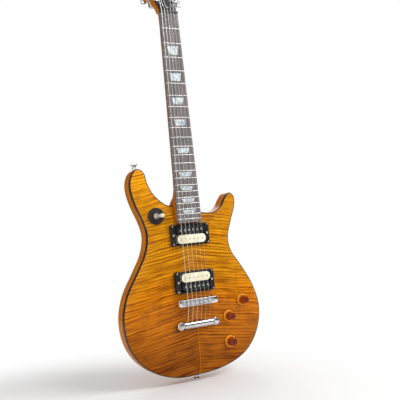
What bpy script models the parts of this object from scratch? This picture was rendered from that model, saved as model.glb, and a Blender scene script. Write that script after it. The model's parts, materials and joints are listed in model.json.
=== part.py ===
"""Double cutaway electric guitar with a carved figured top, two open coil pickups and a set neck.

The guitar stands upright with its strings towards -Y and its headstock towards +Z. The world origin is
the centre of the lower strap button's end face. Pieces are placed from three datums: the line where the
strings cross the bridge, the neck's own tilted frame, and the headstock's frame behind the nut.
All sizes are in metres.
"""

import math

import bmesh
import bpy
from mathutils import Matrix, Vector
from mathutils.geometry import interpolate_bezier

# Clearance between pieces that touch on the real instrument, and how far a cut runs past a face
GAP = 0.0003
OVERCUT = 0.002

# Strings and scale
SCALE_LENGTH = 0.62865
STRING_DIAMETERS = (0.00117, 0.00091, 0.00066, 0.00043, 0.00033, 0.00025)
STRING_NAMES = ("low_e", "a", "d", "g", "b", "high_e")
STRING_COUNT = len(STRING_DIAMETERS)
BRIDGE_STRING_SPACING = 0.0104
NUT_STRING_SPACING = 0.0071
STRING_RISE_AT_BRIDGE = 0.0040
NUT_STRING_HEIGHT = 0.0015
PLAYING_RADIUS = 0.305

# Body
RIM_DEPTH = 0.038
TOP_RISE = 0.006
CARVE_WIDTH = 0.038
CARVE_RING = 0.008
CARVE_GRID = 0.018
BINDING_HEIGHT = 0.007
BINDING_WIDTH = 0.0015
BACK_ROUNDING = 0.006
OUTLINE_STEPS = 3

# Neck and fretboard
NECK_ANGLE = math.radians(1.2)
BOARD_RISE = 0.016
BOARD_THICKNESS = 0.006
BOARD_OVERHANG = 0.0079
NUT_WIDTH = 0.043
LAST_FRET_WIDTH = 0.0565
FRET_COUNT = 22
FRET_WIDTH = 0.0026
FRET_HEIGHT = 0.0010
FRET_SINK = 0.0004
FRET_END_INSET = 0.0004
HEEL_OVERHANG = 0.0005
HEEL_LENGTH = 0.0395
POCKET_LENGTH = 0.0720
HEEL_DEPTH = 0.0420
SHAFT_DEPTH_AT_BODY = 0.0185
SHAFT_DEPTH_AT_NUT = 0.0152
NUT_LENGTH = 0.0050
NUT_CROWN = 0.0021

# Truss rod and its channel
ROD_WIDTH = 0.0054
ROD_DEPTH = 0.0090
ROD_INSET = 0.0320
ROD_NUT_REACH = 0.0134
ROD_NUT_LENGTH = 0.0140
ROD_POCKET_ROOM = 0.0086
COVER_THICKNESS = 0.0016

# Headstock
HEADSTOCK_ANGLE = math.radians(14.0)
HEADSTOCK_THICKNESS = 0.0140
FACING_THICKNESS = 0.0012
POST_FIRST_Z = 0.030
POST_SPACING = 0.040
POST_FIRST_X = 0.0225
POST_SPREAD = 0.0042
POSTS_PER_SIDE = 3

# Tuners
POST_RADIUS = 0.0030
POST_HEIGHT = 0.0165
BUSH_WALL = 0.0020
NUT_MARGIN = 0.0022
NUT_PLATE = 0.0022
HOUSING_WIDTH = 0.0165
HOUSING_LENGTH = 0.0215
HOUSING_DEPTH = 0.0115
HOUSING_WALL = 0.0015
WORM_WALL = 0.0022
KEY_SHAFT_RADIUS = 0.0020
BOSS_WALL = 0.0018
BOSS_INSET = 0.0005
KEY_COLLAR = 0.0012
KEY_REACH = 0.0030
BUTTON_LENGTH = 0.0135
BUTTON_HEIGHT = 0.0175
BUTTON_THICKNESS = 0.0075
WINDING_TURNS = 2
WINDING_POINTS = 16
WINDING_GAP = 0.00045
WINDING_TOP = 0.0095

# Pickups and their rings
NECK_RING_GAP = 0.0025
BRIDGE_PICKUP_Z = 0.0433
RING_LENGTH = 0.0900
RING_HEIGHT = 0.0455
RING_OPENING_LENGTH = 0.0708
RING_OPENING_HEIGHT = 0.0392
RING_CORNER = 0.0030
RING_EDGE = 0.0012
NECK_RING_THICKNESS = 0.0080
BRIDGE_RING_THICKNESS = 0.0110
BOBBIN_LENGTH = 0.0668
BOBBIN_HEIGHT = 0.0184
BOBBIN_DEPTH = 0.0120
FLANGE_THICKNESS = 0.0016
COIL_INSET = 0.0014
BASEPLATE_THICKNESS = 0.0012
POLE_RADIUS = 0.0024
POLE_RISE = 0.0005
NECK_POLE_SPACING = 0.0100
BRIDGE_POLE_SPACING = 0.0104
NECK_PICKUP_DROP = 0.0039
BRIDGE_PICKUP_DROP = 0.0034
BOBBIN_CORNER = 0.0084
PICKUP_CAVITY_DEPTH = 0.0110
PICKUP_LEG_LENGTH = 0.0830
SPACER_DEPTH = 0.0030
LEG_DROP = 0.0035
LEG_WIDTH = 0.0120
LEG_ROUT_MARGIN = 0.0010
LEG_ROUT_RISE = 0.0020

# Bridge and tailpiece
POST_SPAN = 0.0740
BRIDGE_END = 0.0090
BRIDGE_DEPTH = 0.0140
BRIDGE_WALL = 0.0015
BRIDGE_BOTTOM = 0.0095
BRIDGE_FLOOR = 0.0040
BRIDGE_CORNER = 0.0045
SADDLE_STAND = 0.0028
STUD_RADIUS = 0.0025
WHEEL_RADIUS = 0.0080
WHEEL_THICKNESS = 0.0025
STUD_PROUD = 0.0010
STUD_SINK = 0.0140
BRIDGE_TRAVEL = 0.0015
SADDLE_WIDTH = 0.0060
SADDLE_LENGTH = 0.0044
SADDLE_SHOULDER = 0.0013
TAILPIECE_Z = -0.0472
TAILPIECE_SPAN = 0.0820
TAILPIECE_DEPTH = 0.0140
TAILPIECE_BOTTOM = 0.0050
TAILPIECE_TOP = 0.0135
EAR_RADIUS = 0.0085
EAR_TOP = 0.0095
ANCHOR_HEAD_RADIUS = 0.0060
ANCHOR_RADIUS = 0.0040
ANCHOR_SINK = 0.0150
EAR_OVERLAP = 0.0015
STRING_BORE_RADIUS = 0.0014
TAIL_BORE_RISE = 0.0045

# Controls: places are across and along from the bridge line
KNOB_PLACES = {"neck_volume_knob": (0.1143, -0.0107), "bridge_volume_knob": (0.0769, -0.0413),
               "tone_knob": (0.0748, -0.0963)}
KNOB_HEIGHT = 0.0195
KNOB_RADIUS = 0.0128
KNOB_LIFT = 0.0012
SHAFT_RADIUS = 0.0030
POT_RADIUS = 0.0118
POT_DEPTH = 0.0090
POT_WALL = 0.0015
POT_BUSH_RADIUS = 0.0045
LEAD_RADIUS = 0.0009
LEAD_SLACK = 0.0060
LEAD_POINTS = 6
POT_ROOM = 0.0047
COVER_MARGIN = 0.0060
COVER_PLATE = 0.0022
SWITCH_PLACE = (-0.0726, 0.1876)
SWITCH_FRAME_WIDTH = 0.0160
SWITCH_FRAME_HEIGHT = 0.0220
SWITCH_FRAME_DEPTH = 0.0180
SWITCH_ROOM = 0.0039
SWITCH_BUSH_RADIUS = 0.0060
BALL_CLEARANCE = 0.0005
SWITCH_WASHER_RADIUS = 0.0180
SWITCH_WASHER_THICKNESS = 0.0015
SWITCH_NUT_MARGIN = 0.0012
SWITCH_NUT_THICKNESS = 0.0028
SWITCH_THROW = math.radians(17.0)
SWITCH_PIVOT_DEPTH = 0.0040
LEVER_RADIUS = 0.0014
LEVER_BALL = 0.0029
LEVER_LENGTH = 0.0245
LEVER_TIP_RADIUS = 0.0043
LEVER_TIP_LENGTH = 0.0135

# Jack and strap buttons
JACK_Z = -0.0330
JACK_PLATE_MARGIN = 0.0005
JACK_PLATE_THICKNESS = 0.0020
JACK_BARREL_RADIUS = 0.0060
JACK_BORE_RADIUS = 0.0032
JACK_LENGTH = 0.0240
JACK_WALL = 0.0020
JACK_NUT_RADIUS = 0.0054
JACK_NUT_RISE = 0.0012
BUTTON_END_RADIUS = 0.0076
BUTTON_NECK_RADIUS = 0.0040
BUTTON_BASE_RADIUS = 0.0062
STRAP_BUTTON_LENGTH = 0.0125
STRAP_SCREW_RADIUS = 0.0019
STRAP_SCREW_LENGTH = 0.0140

# Facets on turned pieces
ROUND_STEPS = 18
SMALL_STEPS = 12
TINY_STEPS = 8
BOBBIN_FACETS = 4
NECK_FACETS = 12
BAR_FACETS = 6

# Sizes and places that follow from the ones above
MIDDLE_OF_RIM = TOP_RISE + RIM_DEPTH / 2
BACK_FACE = TOP_RISE + RIM_DEPTH
CAP_BACK = TOP_RISE + BINDING_HEIGHT
BACK_FRONT = CAP_BACK + GAP
NUT_BACK = SCALE_LENGTH + NUT_LENGTH
NECK_FRONT = BOARD_THICKNESS + GAP
FACING_FRONT = FACING_THICKNESS + GAP
LAST_FRET = SCALE_LENGTH * 2 ** (-FRET_COUNT / 12)
BOARD_END = LAST_FRET - BOARD_OVERHANG
NECK_END = BOARD_END - HEEL_OVERHANG
HEEL_END = NECK_END + HEEL_LENGTH
ROD_START = NECK_END + ROD_INSET
ROD_END = NUT_BACK + ROD_NUT_REACH
BRIDGE_STRING_HEIGHT = BOARD_RISE + STRING_RISE_AT_BRIDGE
BRIDGE_TOP = BRIDGE_STRING_HEIGHT - SADDLE_STAND
BRIDGE_LENGTH = POST_SPAN + 2 * BRIDGE_END
CHANNEL_DEPTH = BRIDGE_DEPTH - 2 * BRIDGE_WALL
CHANNEL_FLOOR = BRIDGE_BOTTOM + BRIDGE_FLOOR
WHEEL_TOP = BRIDGE_BOTTOM - GAP
TAILPIECE_BAR = TAILPIECE_SPAN - 2 * (EAR_RADIUS - EAR_OVERLAP)
TAIL_BORE_HEIGHT = TAILPIECE_BOTTOM + TAIL_BORE_RISE
NECK_PICKUP_Z = BOARD_END - NECK_RING_GAP - RING_HEIGHT / 2
CAVITY_MARGIN = POT_RADIUS + POT_ROOM
SWITCH_CAVITY_RADIUS = math.hypot(SWITCH_FRAME_WIDTH, SWITCH_FRAME_HEIGHT) / 2 + SWITCH_ROOM
SWITCH_BORE_RADIUS = LEVER_BALL + BALL_CLEARANCE
SWITCH_NUT_RADIUS = SWITCH_BUSH_RADIUS + SWITCH_NUT_MARGIN
JACK_PLATE_RADIUS = RIM_DEPTH / 2 - BINDING_HEIGHT - JACK_PLATE_MARGIN
BUSH_RADIUS = POST_RADIUS + BUSH_WALL
TUNER_NUT_RADIUS = BUSH_RADIUS + NUT_MARGIN
WORM_OFFSET = POST_RADIUS + KEY_SHAFT_RADIUS + WORM_WALL

# Body outline seen from the front, from the bass side of the neck round the tail to the treble side,
# measured from the middle of the bridge line. The last value of each knot marks a corner.
BODY_KNOTS = (
    (-0.0290, 0.2055, True), (-0.0480, 0.2125, False), (-0.0705, 0.2330, False), (-0.0835, 0.2580, False),
    (-0.0890, 0.2800, False), (-0.1020, 0.2893, False), (-0.1165, 0.2780, False), (-0.1230, 0.2525, False),
    (-0.1160, 0.2170, False), (-0.1000, 0.1760, False), (-0.0940, 0.1470, False), (-0.1020, 0.1110, False),
    (-0.1240, 0.0720, False), (-0.1510, 0.0250, False), (-0.1622, -0.0290, False), (-0.1500, -0.0850, False),
    (-0.1150, -0.1275, False), (-0.0600, -0.1520, False), (0.0000, -0.1550, False), (0.0650, -0.1478, False),
    (0.1170, -0.1255, False), (0.1495, -0.0860, False), (0.1622, -0.0330, False), (0.1500, 0.0190, False),
    (0.1230, 0.0680, False), (0.1035, 0.0990, False), (0.0987, 0.1290, False), (0.1090, 0.1630, False),
    (0.1225, 0.1980, False), (0.1235, 0.2190, False), (0.1125, 0.2285, False), (0.1005, 0.2180, False),
    (0.0870, 0.1985, False), (0.0640, 0.1875, False), (0.0290, 0.1905, True))

# Right half of the headstock outline, from the nut's corner up to the middle of the tip
HEADSTOCK_KNOTS = (
    (NUT_WIDTH / 2 - 0.0002, 0.0008, True), (NUT_WIDTH / 2 + 0.0020, 0.0130, False),
    (0.0310, 0.0300, False), (0.0360, 0.0620, False), (0.0398, 0.1100, False), (0.0412, 0.1500, False),
    (0.0345, 0.1690, False), (0.0000, 0.1755, False))

# Right half of the truss rod cover, from its edge at the nut up to its tip
ROD_COVER_KNOTS = (
    (0.0000, 0.0030, True), (0.0120, 0.0030, True), (0.0105, 0.0160, False), (0.0062, 0.0300, False),
    (0.0040, 0.0430, False), (0.0000, 0.0470, False))

# Bell shape of a knob from the middle of its top down, as shares of its radius and height
KNOB_BELL = ((0.0, 0.96), (0.34, 0.97), (0.42, 1.0), (0.53, 0.94), (0.57, 0.70), (0.64, 0.47),
             (0.80, 0.24), (0.96, 0.15), (1.0, 0.11), (0.99, 0.0))

# How much each saddle stands off the nominal scale length, from the lowest string to the highest
SADDLE_SETBACKS = (-0.0016, -0.0010, -0.0004, -0.0012, -0.0006, 0.0)

# Neck shaft stations from the body end: place along the neck, front, depth and roundness of the back
NECK_STATIONS = (
    (NECK_END, NECK_FRONT, HEEL_DEPTH, 0.10),
    (HEEL_END, NECK_FRONT, HEEL_DEPTH, 0.12),
    (HEEL_END + 0.0085, NECK_FRONT, HEEL_DEPTH - 0.0035, 0.40),
    (HEEL_END + 0.0195, NECK_FRONT, SHAFT_DEPTH_AT_BODY + 0.0095, 0.70),
    (HEEL_END + 0.0345, NECK_FRONT, SHAFT_DEPTH_AT_BODY + 0.0020, 0.92),
    (HEEL_END + 0.0575, NECK_FRONT, SHAFT_DEPTH_AT_BODY, 1.0),
    (NUT_BACK - 0.0336, NECK_FRONT, SHAFT_DEPTH_AT_NUT, 1.0),
    (NUT_BACK - 0.0116, NECK_FRONT, SHAFT_DEPTH_AT_NUT + 0.0004, 0.85),
    (NUT_BACK, NECK_FRONT, SHAFT_DEPTH_AT_NUT + 0.0008, 0.50),
    (NUT_BACK + 0.0100, NECK_FRONT + 0.0100 * math.tan(HEADSTOCK_ANGLE) + 0.0004, 0.0132, 0.30),
)

FINISHES = {
    "mahogany": ((0.30, 0.085, 0.030), 0.25, 0.0),
    "maple": ((0.72, 0.36, 0.07), 0.18, 0.0),
    "rosewood": ((0.060, 0.035, 0.025), 0.5, 0.0),
    "black_plastic": ((0.012, 0.012, 0.013), 0.35, 0.0),
    "cream_plastic": ((0.85, 0.74, 0.52), 0.35, 0.0),
    "amber_plastic": ((0.70, 0.36, 0.06), 0.15, 0.0),
    "chrome": ((0.80, 0.80, 0.80), 0.12, 1.0),
    "nickel": ((0.66, 0.64, 0.60), 0.25, 1.0),
    "steel": ((0.55, 0.55, 0.55), 0.35, 1.0),
    "bronze": ((0.60, 0.55, 0.48), 0.35, 1.0),
}


def clear_scene():
    """Remove every object that the file holds."""
    for item in list(bpy.data.objects):
        bpy.data.objects.remove(item, do_unlink=True)


def new_collection(name):
    """Return a collection of the given name, linked to the scene."""
    collection = bpy.data.collections.get(name) or bpy.data.collections.new(name)
    if collection.name not in bpy.context.scene.collection.children:
        bpy.context.scene.collection.children.link(collection)
    return collection


clear_scene()
PARTS = new_collection("electric_guitar")
CUTTERS = new_collection("cutters")


def datum(name, location, tilt=0.0, parent=None):
    """Add an empty that pieces are placed from; a positive tilt leans its Z axis towards the back."""
    empty = bpy.data.objects.new(name, None)
    empty.location = location
    empty.rotation_euler = (-tilt, 0.0, 0.0)
    empty.parent = parent
    empty.hide_render = True
    PARTS.objects.link(empty)
    return empty


BODY_TAIL = -min(z for _, z, _ in BODY_KNOTS)
BRIDGE_LINE_Z = STRAP_BUTTON_LENGTH + GAP + BODY_TAIL
BRIDGE_DATUM = datum("bridge_line", (0.0, -MIDDLE_OF_RIM, BRIDGE_LINE_Z))
NECK_DATUM = datum("neck_line", (0.0, -BOARD_RISE, 0.0), NECK_ANGLE, BRIDGE_DATUM)
HEADSTOCK_DATUM = datum("headstock_line", (0.0, NECK_FRONT, NUT_BACK), HEADSTOCK_ANGLE, NECK_DATUM)
NECK_MATRIX = Matrix.Translation((0.0, -BOARD_RISE, 0.0)) @ Matrix.Rotation(-NECK_ANGLE, 4, "X")
HEADSTOCK_MATRIX = (NECK_MATRIX @ Matrix.Translation((0.0, NECK_FRONT, NUT_BACK))
                    @ Matrix.Rotation(-HEADSTOCK_ANGLE, 4, "X"))
FACING_FORWARD = (math.pi / 2, 0.0, 0.0)


def new_material(name, finish):
    """Return a material of the piece's own with the named finish."""
    colour, roughness, metallic = FINISHES[finish]
    material = bpy.data.materials.new(name)
    material.use_nodes = True
    shader = material.node_tree.nodes["Principled BSDF"]
    shader.inputs["Base Color"].default_value = (*colour, 1.0)
    shader.inputs["Roughness"].default_value = roughness
    shader.inputs["Metallic"].default_value = metallic
    return material


def add_piece(name, data, finish, parent, location=(0.0, 0.0, 0.0), rotation=(0.0, 0.0, 0.0)):
    """Add one named piece of the guitar, shaded smooth between its sharp edges."""
    piece = bpy.data.objects.new(name, data)
    piece.location = location
    piece.rotation_euler = rotation
    piece.parent = parent
    data.materials.clear()
    data.materials.append(new_material(name, finish))
    if isinstance(data, bpy.types.Mesh):
        data.shade_smooth()
        data.set_sharp_from_angle(angle=math.radians(35.0))
    PARTS.objects.link(piece)
    return piece


def add_tool(name, mesh, parent, location=(0.0, 0.0, 0.0), rotation=(0.0, 0.0, 0.0)):
    """Add a hidden shape that cuts a piece or is joined to it."""
    tool = bpy.data.objects.new(name, mesh)
    tool.location = location
    tool.rotation_euler = rotation
    tool.parent = parent
    tool.hide_render = True
    tool.display_type = "WIRE"
    CUTTERS.objects.link(tool)
    return tool


def combine(piece, tool, operation):
    """Cut a tool out of a piece or join it on."""
    boolean = piece.modifiers.new(f"{operation.lower()}_{tool.name}", "BOOLEAN")
    boolean.operation = operation
    boolean.object = tool
    boolean.solver = "EXACT"


def cut(piece, *tools):
    """Take the tools away from the piece."""
    for tool in tools:
        combine(piece, tool, "DIFFERENCE")


def join(piece, *tools):
    """Join the tools onto the piece."""
    for tool in tools:
        combine(piece, tool, "UNION")


def to_mesh(form, name):
    """Return a bmesh form as a new mesh with its faces pointing out."""
    bmesh.ops.recalc_face_normals(form, faces=form.faces)
    mesh = bpy.data.meshes.new(name)
    form.to_mesh(mesh)
    form.free()
    return mesh


def box_mesh(name, low, high, rounding=0.0, segments=2):
    """Make a box between two corners, with all its edges rounded where asked."""
    form = bmesh.new()
    size = Vector(high) - Vector(low)
    middle = (Vector(high) + Vector(low)) / 2
    place = Matrix.Translation(middle) @ Matrix.Diagonal((*size, 1.0))
    bmesh.ops.create_cube(form, size=1.0, matrix=place)
    if rounding:
        bmesh.ops.bevel(form, geom=form.edges[:], offset=rounding, segments=segments, profile=0.5,
                        affect="EDGES")
    return to_mesh(form, name)


def rod_mesh(name, radius, start, end, places=((0.0, 0.0),), steps=SMALL_STEPS, axis="Y"):
    """Make round rods along Y, X or Z, one at each place across the other two axes."""
    form = bmesh.new()
    turns = {"X": Matrix.Rotation(math.pi / 2, 4, "Y"), "Y": Matrix.Rotation(math.pi / 2, 4, "X"),
             "Z": Matrix.Identity(4)}
    middle = (start + end) / 2
    for first, second in places:
        centre = {"X": (middle, first, second), "Y": (first, middle, second), "Z": (first, second, middle)}
        bmesh.ops.create_cone(form, cap_ends=True, segments=steps, radius1=radius, radius2=radius,
                              depth=abs(end - start), matrix=Matrix.Translation(centre[axis]) @ turns[axis])
    return to_mesh(form, name)


def turned_piece(name, profile, finish, parent, location, rotation=FACING_FORWARD, steps=ROUND_STEPS):
    """Turn a profile of (radius, height) points, listed from the top down, about its own Z axis."""
    piece = add_piece(name, profile_mesh(name, profile), finish, parent, location, rotation)
    add_screw(piece, steps)
    return piece


def turned_tool(name, profile, parent, location, rotation=FACING_FORWARD, steps=SMALL_STEPS):
    """Turn a profile as turned_piece does, for a tool that joins or cuts."""
    tool = add_tool(name, profile_mesh(name, profile), parent, location, rotation)
    add_screw(tool, steps)
    return tool


def profile_mesh(name, profile):
    """Make an open chain of edges through the points of a turning profile."""
    mesh = bpy.data.meshes.new(name)
    vertices = [(radius, 0.0, height) for radius, height in profile]
    mesh.from_pydata(vertices, [(index, index + 1) for index in range(len(vertices) - 1)], [])
    return mesh


def add_screw(item, steps):
    """Turn the item's profile once round."""
    screw = item.modifiers.new("turn", "SCREW")
    screw.steps = steps
    screw.render_steps = steps
    screw.use_merge_vertices = True
    screw.merge_threshold = 0.00001


def smooth_outline(knots, steps):
    """Sample a closed outline as Bezier arcs through its knots; a corner's arcs leave it straight."""
    count = len(knots)
    places = [Vector((x, z, 0.0)) for x, z, _ in knots]
    points = []
    for index in range(count):
        start, end = places[index], places[(index + 1) % count]
        reach = (end - start).length / 3
        leave = arrive = (end - start).normalized()
        if not knots[index][2]:
            leave = (end - places[index - 1]).normalized()
        if not knots[(index + 1) % count][2]:
            arrive = (places[(index + 2) % count] - start).normalized()
        both_corners = knots[index][2] and knots[(index + 1) % count][2]
        samples = 2 if both_corners else steps + 1
        arc = interpolate_bezier(start, start + leave * reach, end - arrive * reach, end, samples)
        points.extend((point.x, point.y) for point in arc[:-1])
    return points


def mirrored_knots(half):
    """Complete a right half of knots with its left half; knots on the middle line stay single."""
    left = [(-x, z, corner) for x, z, corner in reversed(half) if x > 0.0]
    return tuple(half) + tuple(left)


def inset_outline(points, distance):
    """Move every point of a closed outline inwards by an even distance."""
    count = len(points)
    area = sum(points[i - 1][0] * points[i][1] - points[i][0] * points[i - 1][1] for i in range(count))
    side = 1.0 if area > 0 else -1.0
    moved = []
    for index, point in enumerate(points):
        here = Vector(point)
        before = (here - Vector(points[index - 1])).normalized()
        after = (Vector(points[(index + 1) % count]) - here).normalized()
        normal = Vector((-before.y - after.y, before.x + after.x)).normalized() * side
        share = max(0.35, normal.dot(Vector((-after.y, after.x)) * side))
        moved.append(tuple(here + normal * distance / share))
    return moved


def plate_mesh(name, outlines, front, back):
    """Extrude flat closed outlines of (x, z) points between two depths; an inner outline is a hole."""
    curve = bpy.data.curves.new(name, "CURVE")
    curve.dimensions = "2D"
    curve.fill_mode = "BOTH"
    curve.extrude = abs(back - front) / 2
    for outline in outlines:
        spline = curve.splines.new("POLY")
        spline.points.add(len(outline) - 1)
        for point, (x, z) in zip(spline.points, outline):
            point.co = (x, z, 0.0, 1.0)
        spline.use_cyclic_u = True
    return curve_to_mesh(name, curve, Matrix.Translation((0.0, (front + back) / 2, 0.0))
                         @ Matrix.Rotation(math.pi / 2, 4, "X"))


def curve_to_mesh(name, curve, matrix):
    """Turn a curve into one welded mesh in the given place."""
    guide = bpy.data.objects.new(name, curve)
    CUTTERS.objects.link(guide)
    mesh = bpy.data.meshes.new_from_object(guide.evaluated_get(bpy.context.evaluated_depsgraph_get()))
    bpy.data.objects.remove(guide, do_unlink=True)
    bpy.data.curves.remove(curve)
    mesh.name = name
    mesh.transform(matrix)
    form = bmesh.new()
    form.from_mesh(mesh)
    bmesh.ops.remove_doubles(form, verts=form.verts, dist=0.000005)
    bmesh.ops.recalc_face_normals(form, faces=form.faces)
    form.to_mesh(mesh)
    form.free()
    return mesh


def circle(centre, radius, steps=ROUND_STEPS):
    """Return the points of a circle in the (x, z) plane."""
    angles = (2 * math.pi * step / steps for step in range(steps))
    return [(centre[0] + radius * math.cos(angle), centre[1] + radius * math.sin(angle)) for angle in angles]


def around_places(places, radius, steps=8):
    """Return the outline of a band stretched round discs of one radius at the given places."""
    middle = sum((Vector(place) for place in places), Vector((0.0, 0.0))) / len(places)
    ordered = sorted(places, key=lambda place: math.atan2(place[1] - middle.y, place[0] - middle.x))
    points = []
    for index, place in enumerate(ordered):
        before = Vector(place) - Vector(ordered[index - 1])
        after = Vector(ordered[(index + 1) % len(ordered)]) - Vector(place)
        first = math.atan2(-before.x, before.y)
        sweep = (math.atan2(-after.x, after.y) - first) % (2 * math.pi)
        for step in range(steps + 1):
            angle = first + sweep * step / steps
            points.append((place[0] + radius * math.cos(angle), place[1] + radius * math.sin(angle)))
    return points


BODY_OUTLINE = smooth_outline(BODY_KNOTS, OUTLINE_STEPS)
CAP_OUTLINE = inset_outline(BODY_OUTLINE, BINDING_WIDTH + GAP)
HEADSTOCK_OUTLINE = smooth_outline(mirrored_knots(HEADSTOCK_KNOTS), 2)
HORN_TIP = max(BODY_OUTLINE, key=lambda point: point[1])


def edge_distance(x, z):
    """Return how far a place on the top lies from the edge of the carved cap."""
    here = Vector((x, z))
    nearest = CARVE_WIDTH
    for index, point in enumerate(CAP_OUTLINE):
        start, end = Vector(CAP_OUTLINE[index - 1]), Vector(point)
        along = end - start
        share = min(1.0, max(0.0, (here - start).dot(along) / along.length_squared))
        nearest = min(nearest, (here - start - along * share).length)
    return nearest


def top_depth(x, z):
    """Return the depth of the carved top below its flat middle at a place: a quick rise from the rim."""
    share = edge_distance(x, z) / CARVE_WIDTH
    return TOP_RISE * (1.0 - share) ** 2


def board_width(z):
    """Return the width of the fretboard at a distance from the bridge line."""
    taper = (LAST_FRET_WIDTH - NUT_WIDTH) / (SCALE_LENGTH - LAST_FRET)
    return NUT_WIDTH + taper * (SCALE_LENGTH - z)


def camber(x):
    """Return how far the playing surface falls away at a distance from its middle line."""
    return x * x / (2 * PLAYING_RADIUS)


def neck_slot():
    """Make the pocket that the neck's heel is set into."""
    form = bmesh.new()
    corners = []
    for z in (NECK_END - GAP, NECK_END + POCKET_LENGTH):
        half = board_width(z) / 2 + GAP
        corners.append([form.verts.new((x, y, z)) for x, y in
                        ((-half, -BOARD_THICKNESS), (half, -BOARD_THICKNESS),
                         (half, NECK_FRONT + HEEL_DEPTH + GAP), (-half, NECK_FRONT + HEEL_DEPTH + GAP))])
    ends = [form.faces.new(ring) for ring in corners]
    rings = [edge for end in ends for edge in end.edges]
    bmesh.ops.bridge_loops(form, edges=rings)
    return add_tool("neck_slot", to_mesh(form, "neck_slot"), NECK_DATUM)


def body_cutters():
    """Make the holes that both layers of the body share."""
    tools = {"neck": neck_slot()}
    for label, z in (("neck", NECK_PICKUP_Z), ("bridge", BRIDGE_PICKUP_Z)):
        half_x, half_z = RING_OPENING_LENGTH / 2, RING_OPENING_HEIGHT / 2
        leg = PICKUP_LEG_LENGTH / 2 + GAP
        tools[f"{label}_pickup"] = add_tool(
            f"{label}_pickup_rout",
            box_mesh(f"{label}_pickup_rout", (-half_x, -OVERCUT, z - half_z),
                     (half_x, BACK_FRONT + PICKUP_CAVITY_DEPTH, z + half_z)), BRIDGE_DATUM)
        half_leg = LEG_WIDTH / 2 + LEG_ROUT_MARGIN
        leg_floor = BACK_FRONT + PICKUP_CAVITY_DEPTH - LEG_ROUT_RISE
        tools[f"{label}_legs"] = add_tool(
            f"{label}_leg_rout", box_mesh(f"{label}_leg_rout", (-leg, -OVERCUT, z - half_leg),
                                          (leg, leg_floor, z + half_leg)), BRIDGE_DATUM)
    half = POST_SPAN / 2
    tools["posts"] = add_tool("post_holes", rod_mesh(
        "post_holes", STUD_RADIUS + GAP, -OVERCUT, STUD_SINK + BRIDGE_TRAVEL + GAP,
        ((-half, 0.0), (half, 0.0))), BRIDGE_DATUM)
    half = TAILPIECE_SPAN / 2
    tools["anchors"] = add_tool("anchor_holes", rod_mesh(
        "anchor_holes", ANCHOR_RADIUS + GAP, -OVERCUT, ANCHOR_SINK + GAP,
        ((-half, TAILPIECE_Z), (half, TAILPIECE_Z))), BRIDGE_DATUM)
    return tools


def mahogany_back(tools):
    """Model the thick back of the body with its cavities, bores and cover recesses."""
    mesh = plate_mesh("mahogany_back", [BODY_OUTLINE], BACK_FRONT, BACK_FACE)
    form = bmesh.new()
    form.from_mesh(mesh)
    rim = [edge for edge in form.edges if all(vert.co.y > BACK_FACE - 0.001 for vert in edge.verts)
           and edge.calc_face_angle(0.0) > 1.0]
    bmesh.ops.bevel(form, geom=rim, offset=BACK_ROUNDING, segments=2, profile=0.5, affect="EDGES",
                    clamp_overlap=True)
    form.to_mesh(mesh)
    form.free()
    body = add_piece("mahogany_back", mesh, "mahogany", BRIDGE_DATUM)
    through = (BACK_FRONT - OVERCUT, BACK_FACE + OVERCUT)
    recess = (BACK_FACE - COVER_PLATE - GAP, BACK_FACE + OVERCUT)
    knobs = list(KNOB_PLACES.values())
    rows = (("control_cavity", around_places(knobs, CAVITY_MARGIN), through),
            ("control_recess", around_places(knobs, CAVITY_MARGIN + COVER_MARGIN), recess),
            ("switch_cavity", circle(SWITCH_PLACE, SWITCH_CAVITY_RADIUS), through),
            ("switch_recess", circle(SWITCH_PLACE, SWITCH_CAVITY_RADIUS + COVER_MARGIN), recess))
    for name, outline, (front, back) in rows:
        cut(body, add_tool(name, plate_mesh(name, [outline], front, back), BRIDGE_DATUM))
    side = side_of_body(JACK_Z) + OVERCUT
    inner = KNOB_PLACES["neck_volume_knob"][0]
    jack_place = ((MIDDLE_OF_RIM, JACK_Z),)
    cut(body,
        add_tool("jack_bore", rod_mesh("jack_bore", JACK_BARREL_RADIUS + GAP, inner, side, jack_place,
                                       axis="X"), BRIDGE_DATUM),
        add_tool("jack_seat", rod_mesh("jack_seat", JACK_PLATE_RADIUS + GAP, jack_seat_x(), side, jack_place,
                                       ROUND_STEPS, "X"), BRIDGE_DATUM))
    horn_x, horn_z = HORN_TIP
    rows = (("end_screw_hole", 0.0, -BODY_TAIL, 1.0), ("horn_screw_hole", horn_x, horn_z, -1.0))
    for name, x, z, inwards in rows:
        hole = rod_mesh(name, STRAP_SCREW_RADIUS + GAP, z - inwards * OVERCUT,
                        z + inwards * (STRAP_SCREW_LENGTH + GAP), ((x, MIDDLE_OF_RIM),), TINY_STEPS, "Z")
        cut(body, add_tool(name, hole, BRIDGE_DATUM))
    cut(body, *tools.values())
    return body


def side_of_body(z):
    """Return how far the treble side of the body reaches at a height on the bridge line's scale."""
    crossings = []
    for index, (x, height) in enumerate(BODY_OUTLINE):
        before_x, before = BODY_OUTLINE[index - 1]
        if x > 0.05 and min(before, height) <= z < max(before, height):
            crossings.append(before_x + (x - before_x) * (z - before) / (height - before))
    return max(crossings)


def jack_seat_x():
    """Return the flat that is faced on the side of the body for the jack plate."""
    return side_of_body(JACK_Z + JACK_PLATE_RADIUS) - GAP


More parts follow.
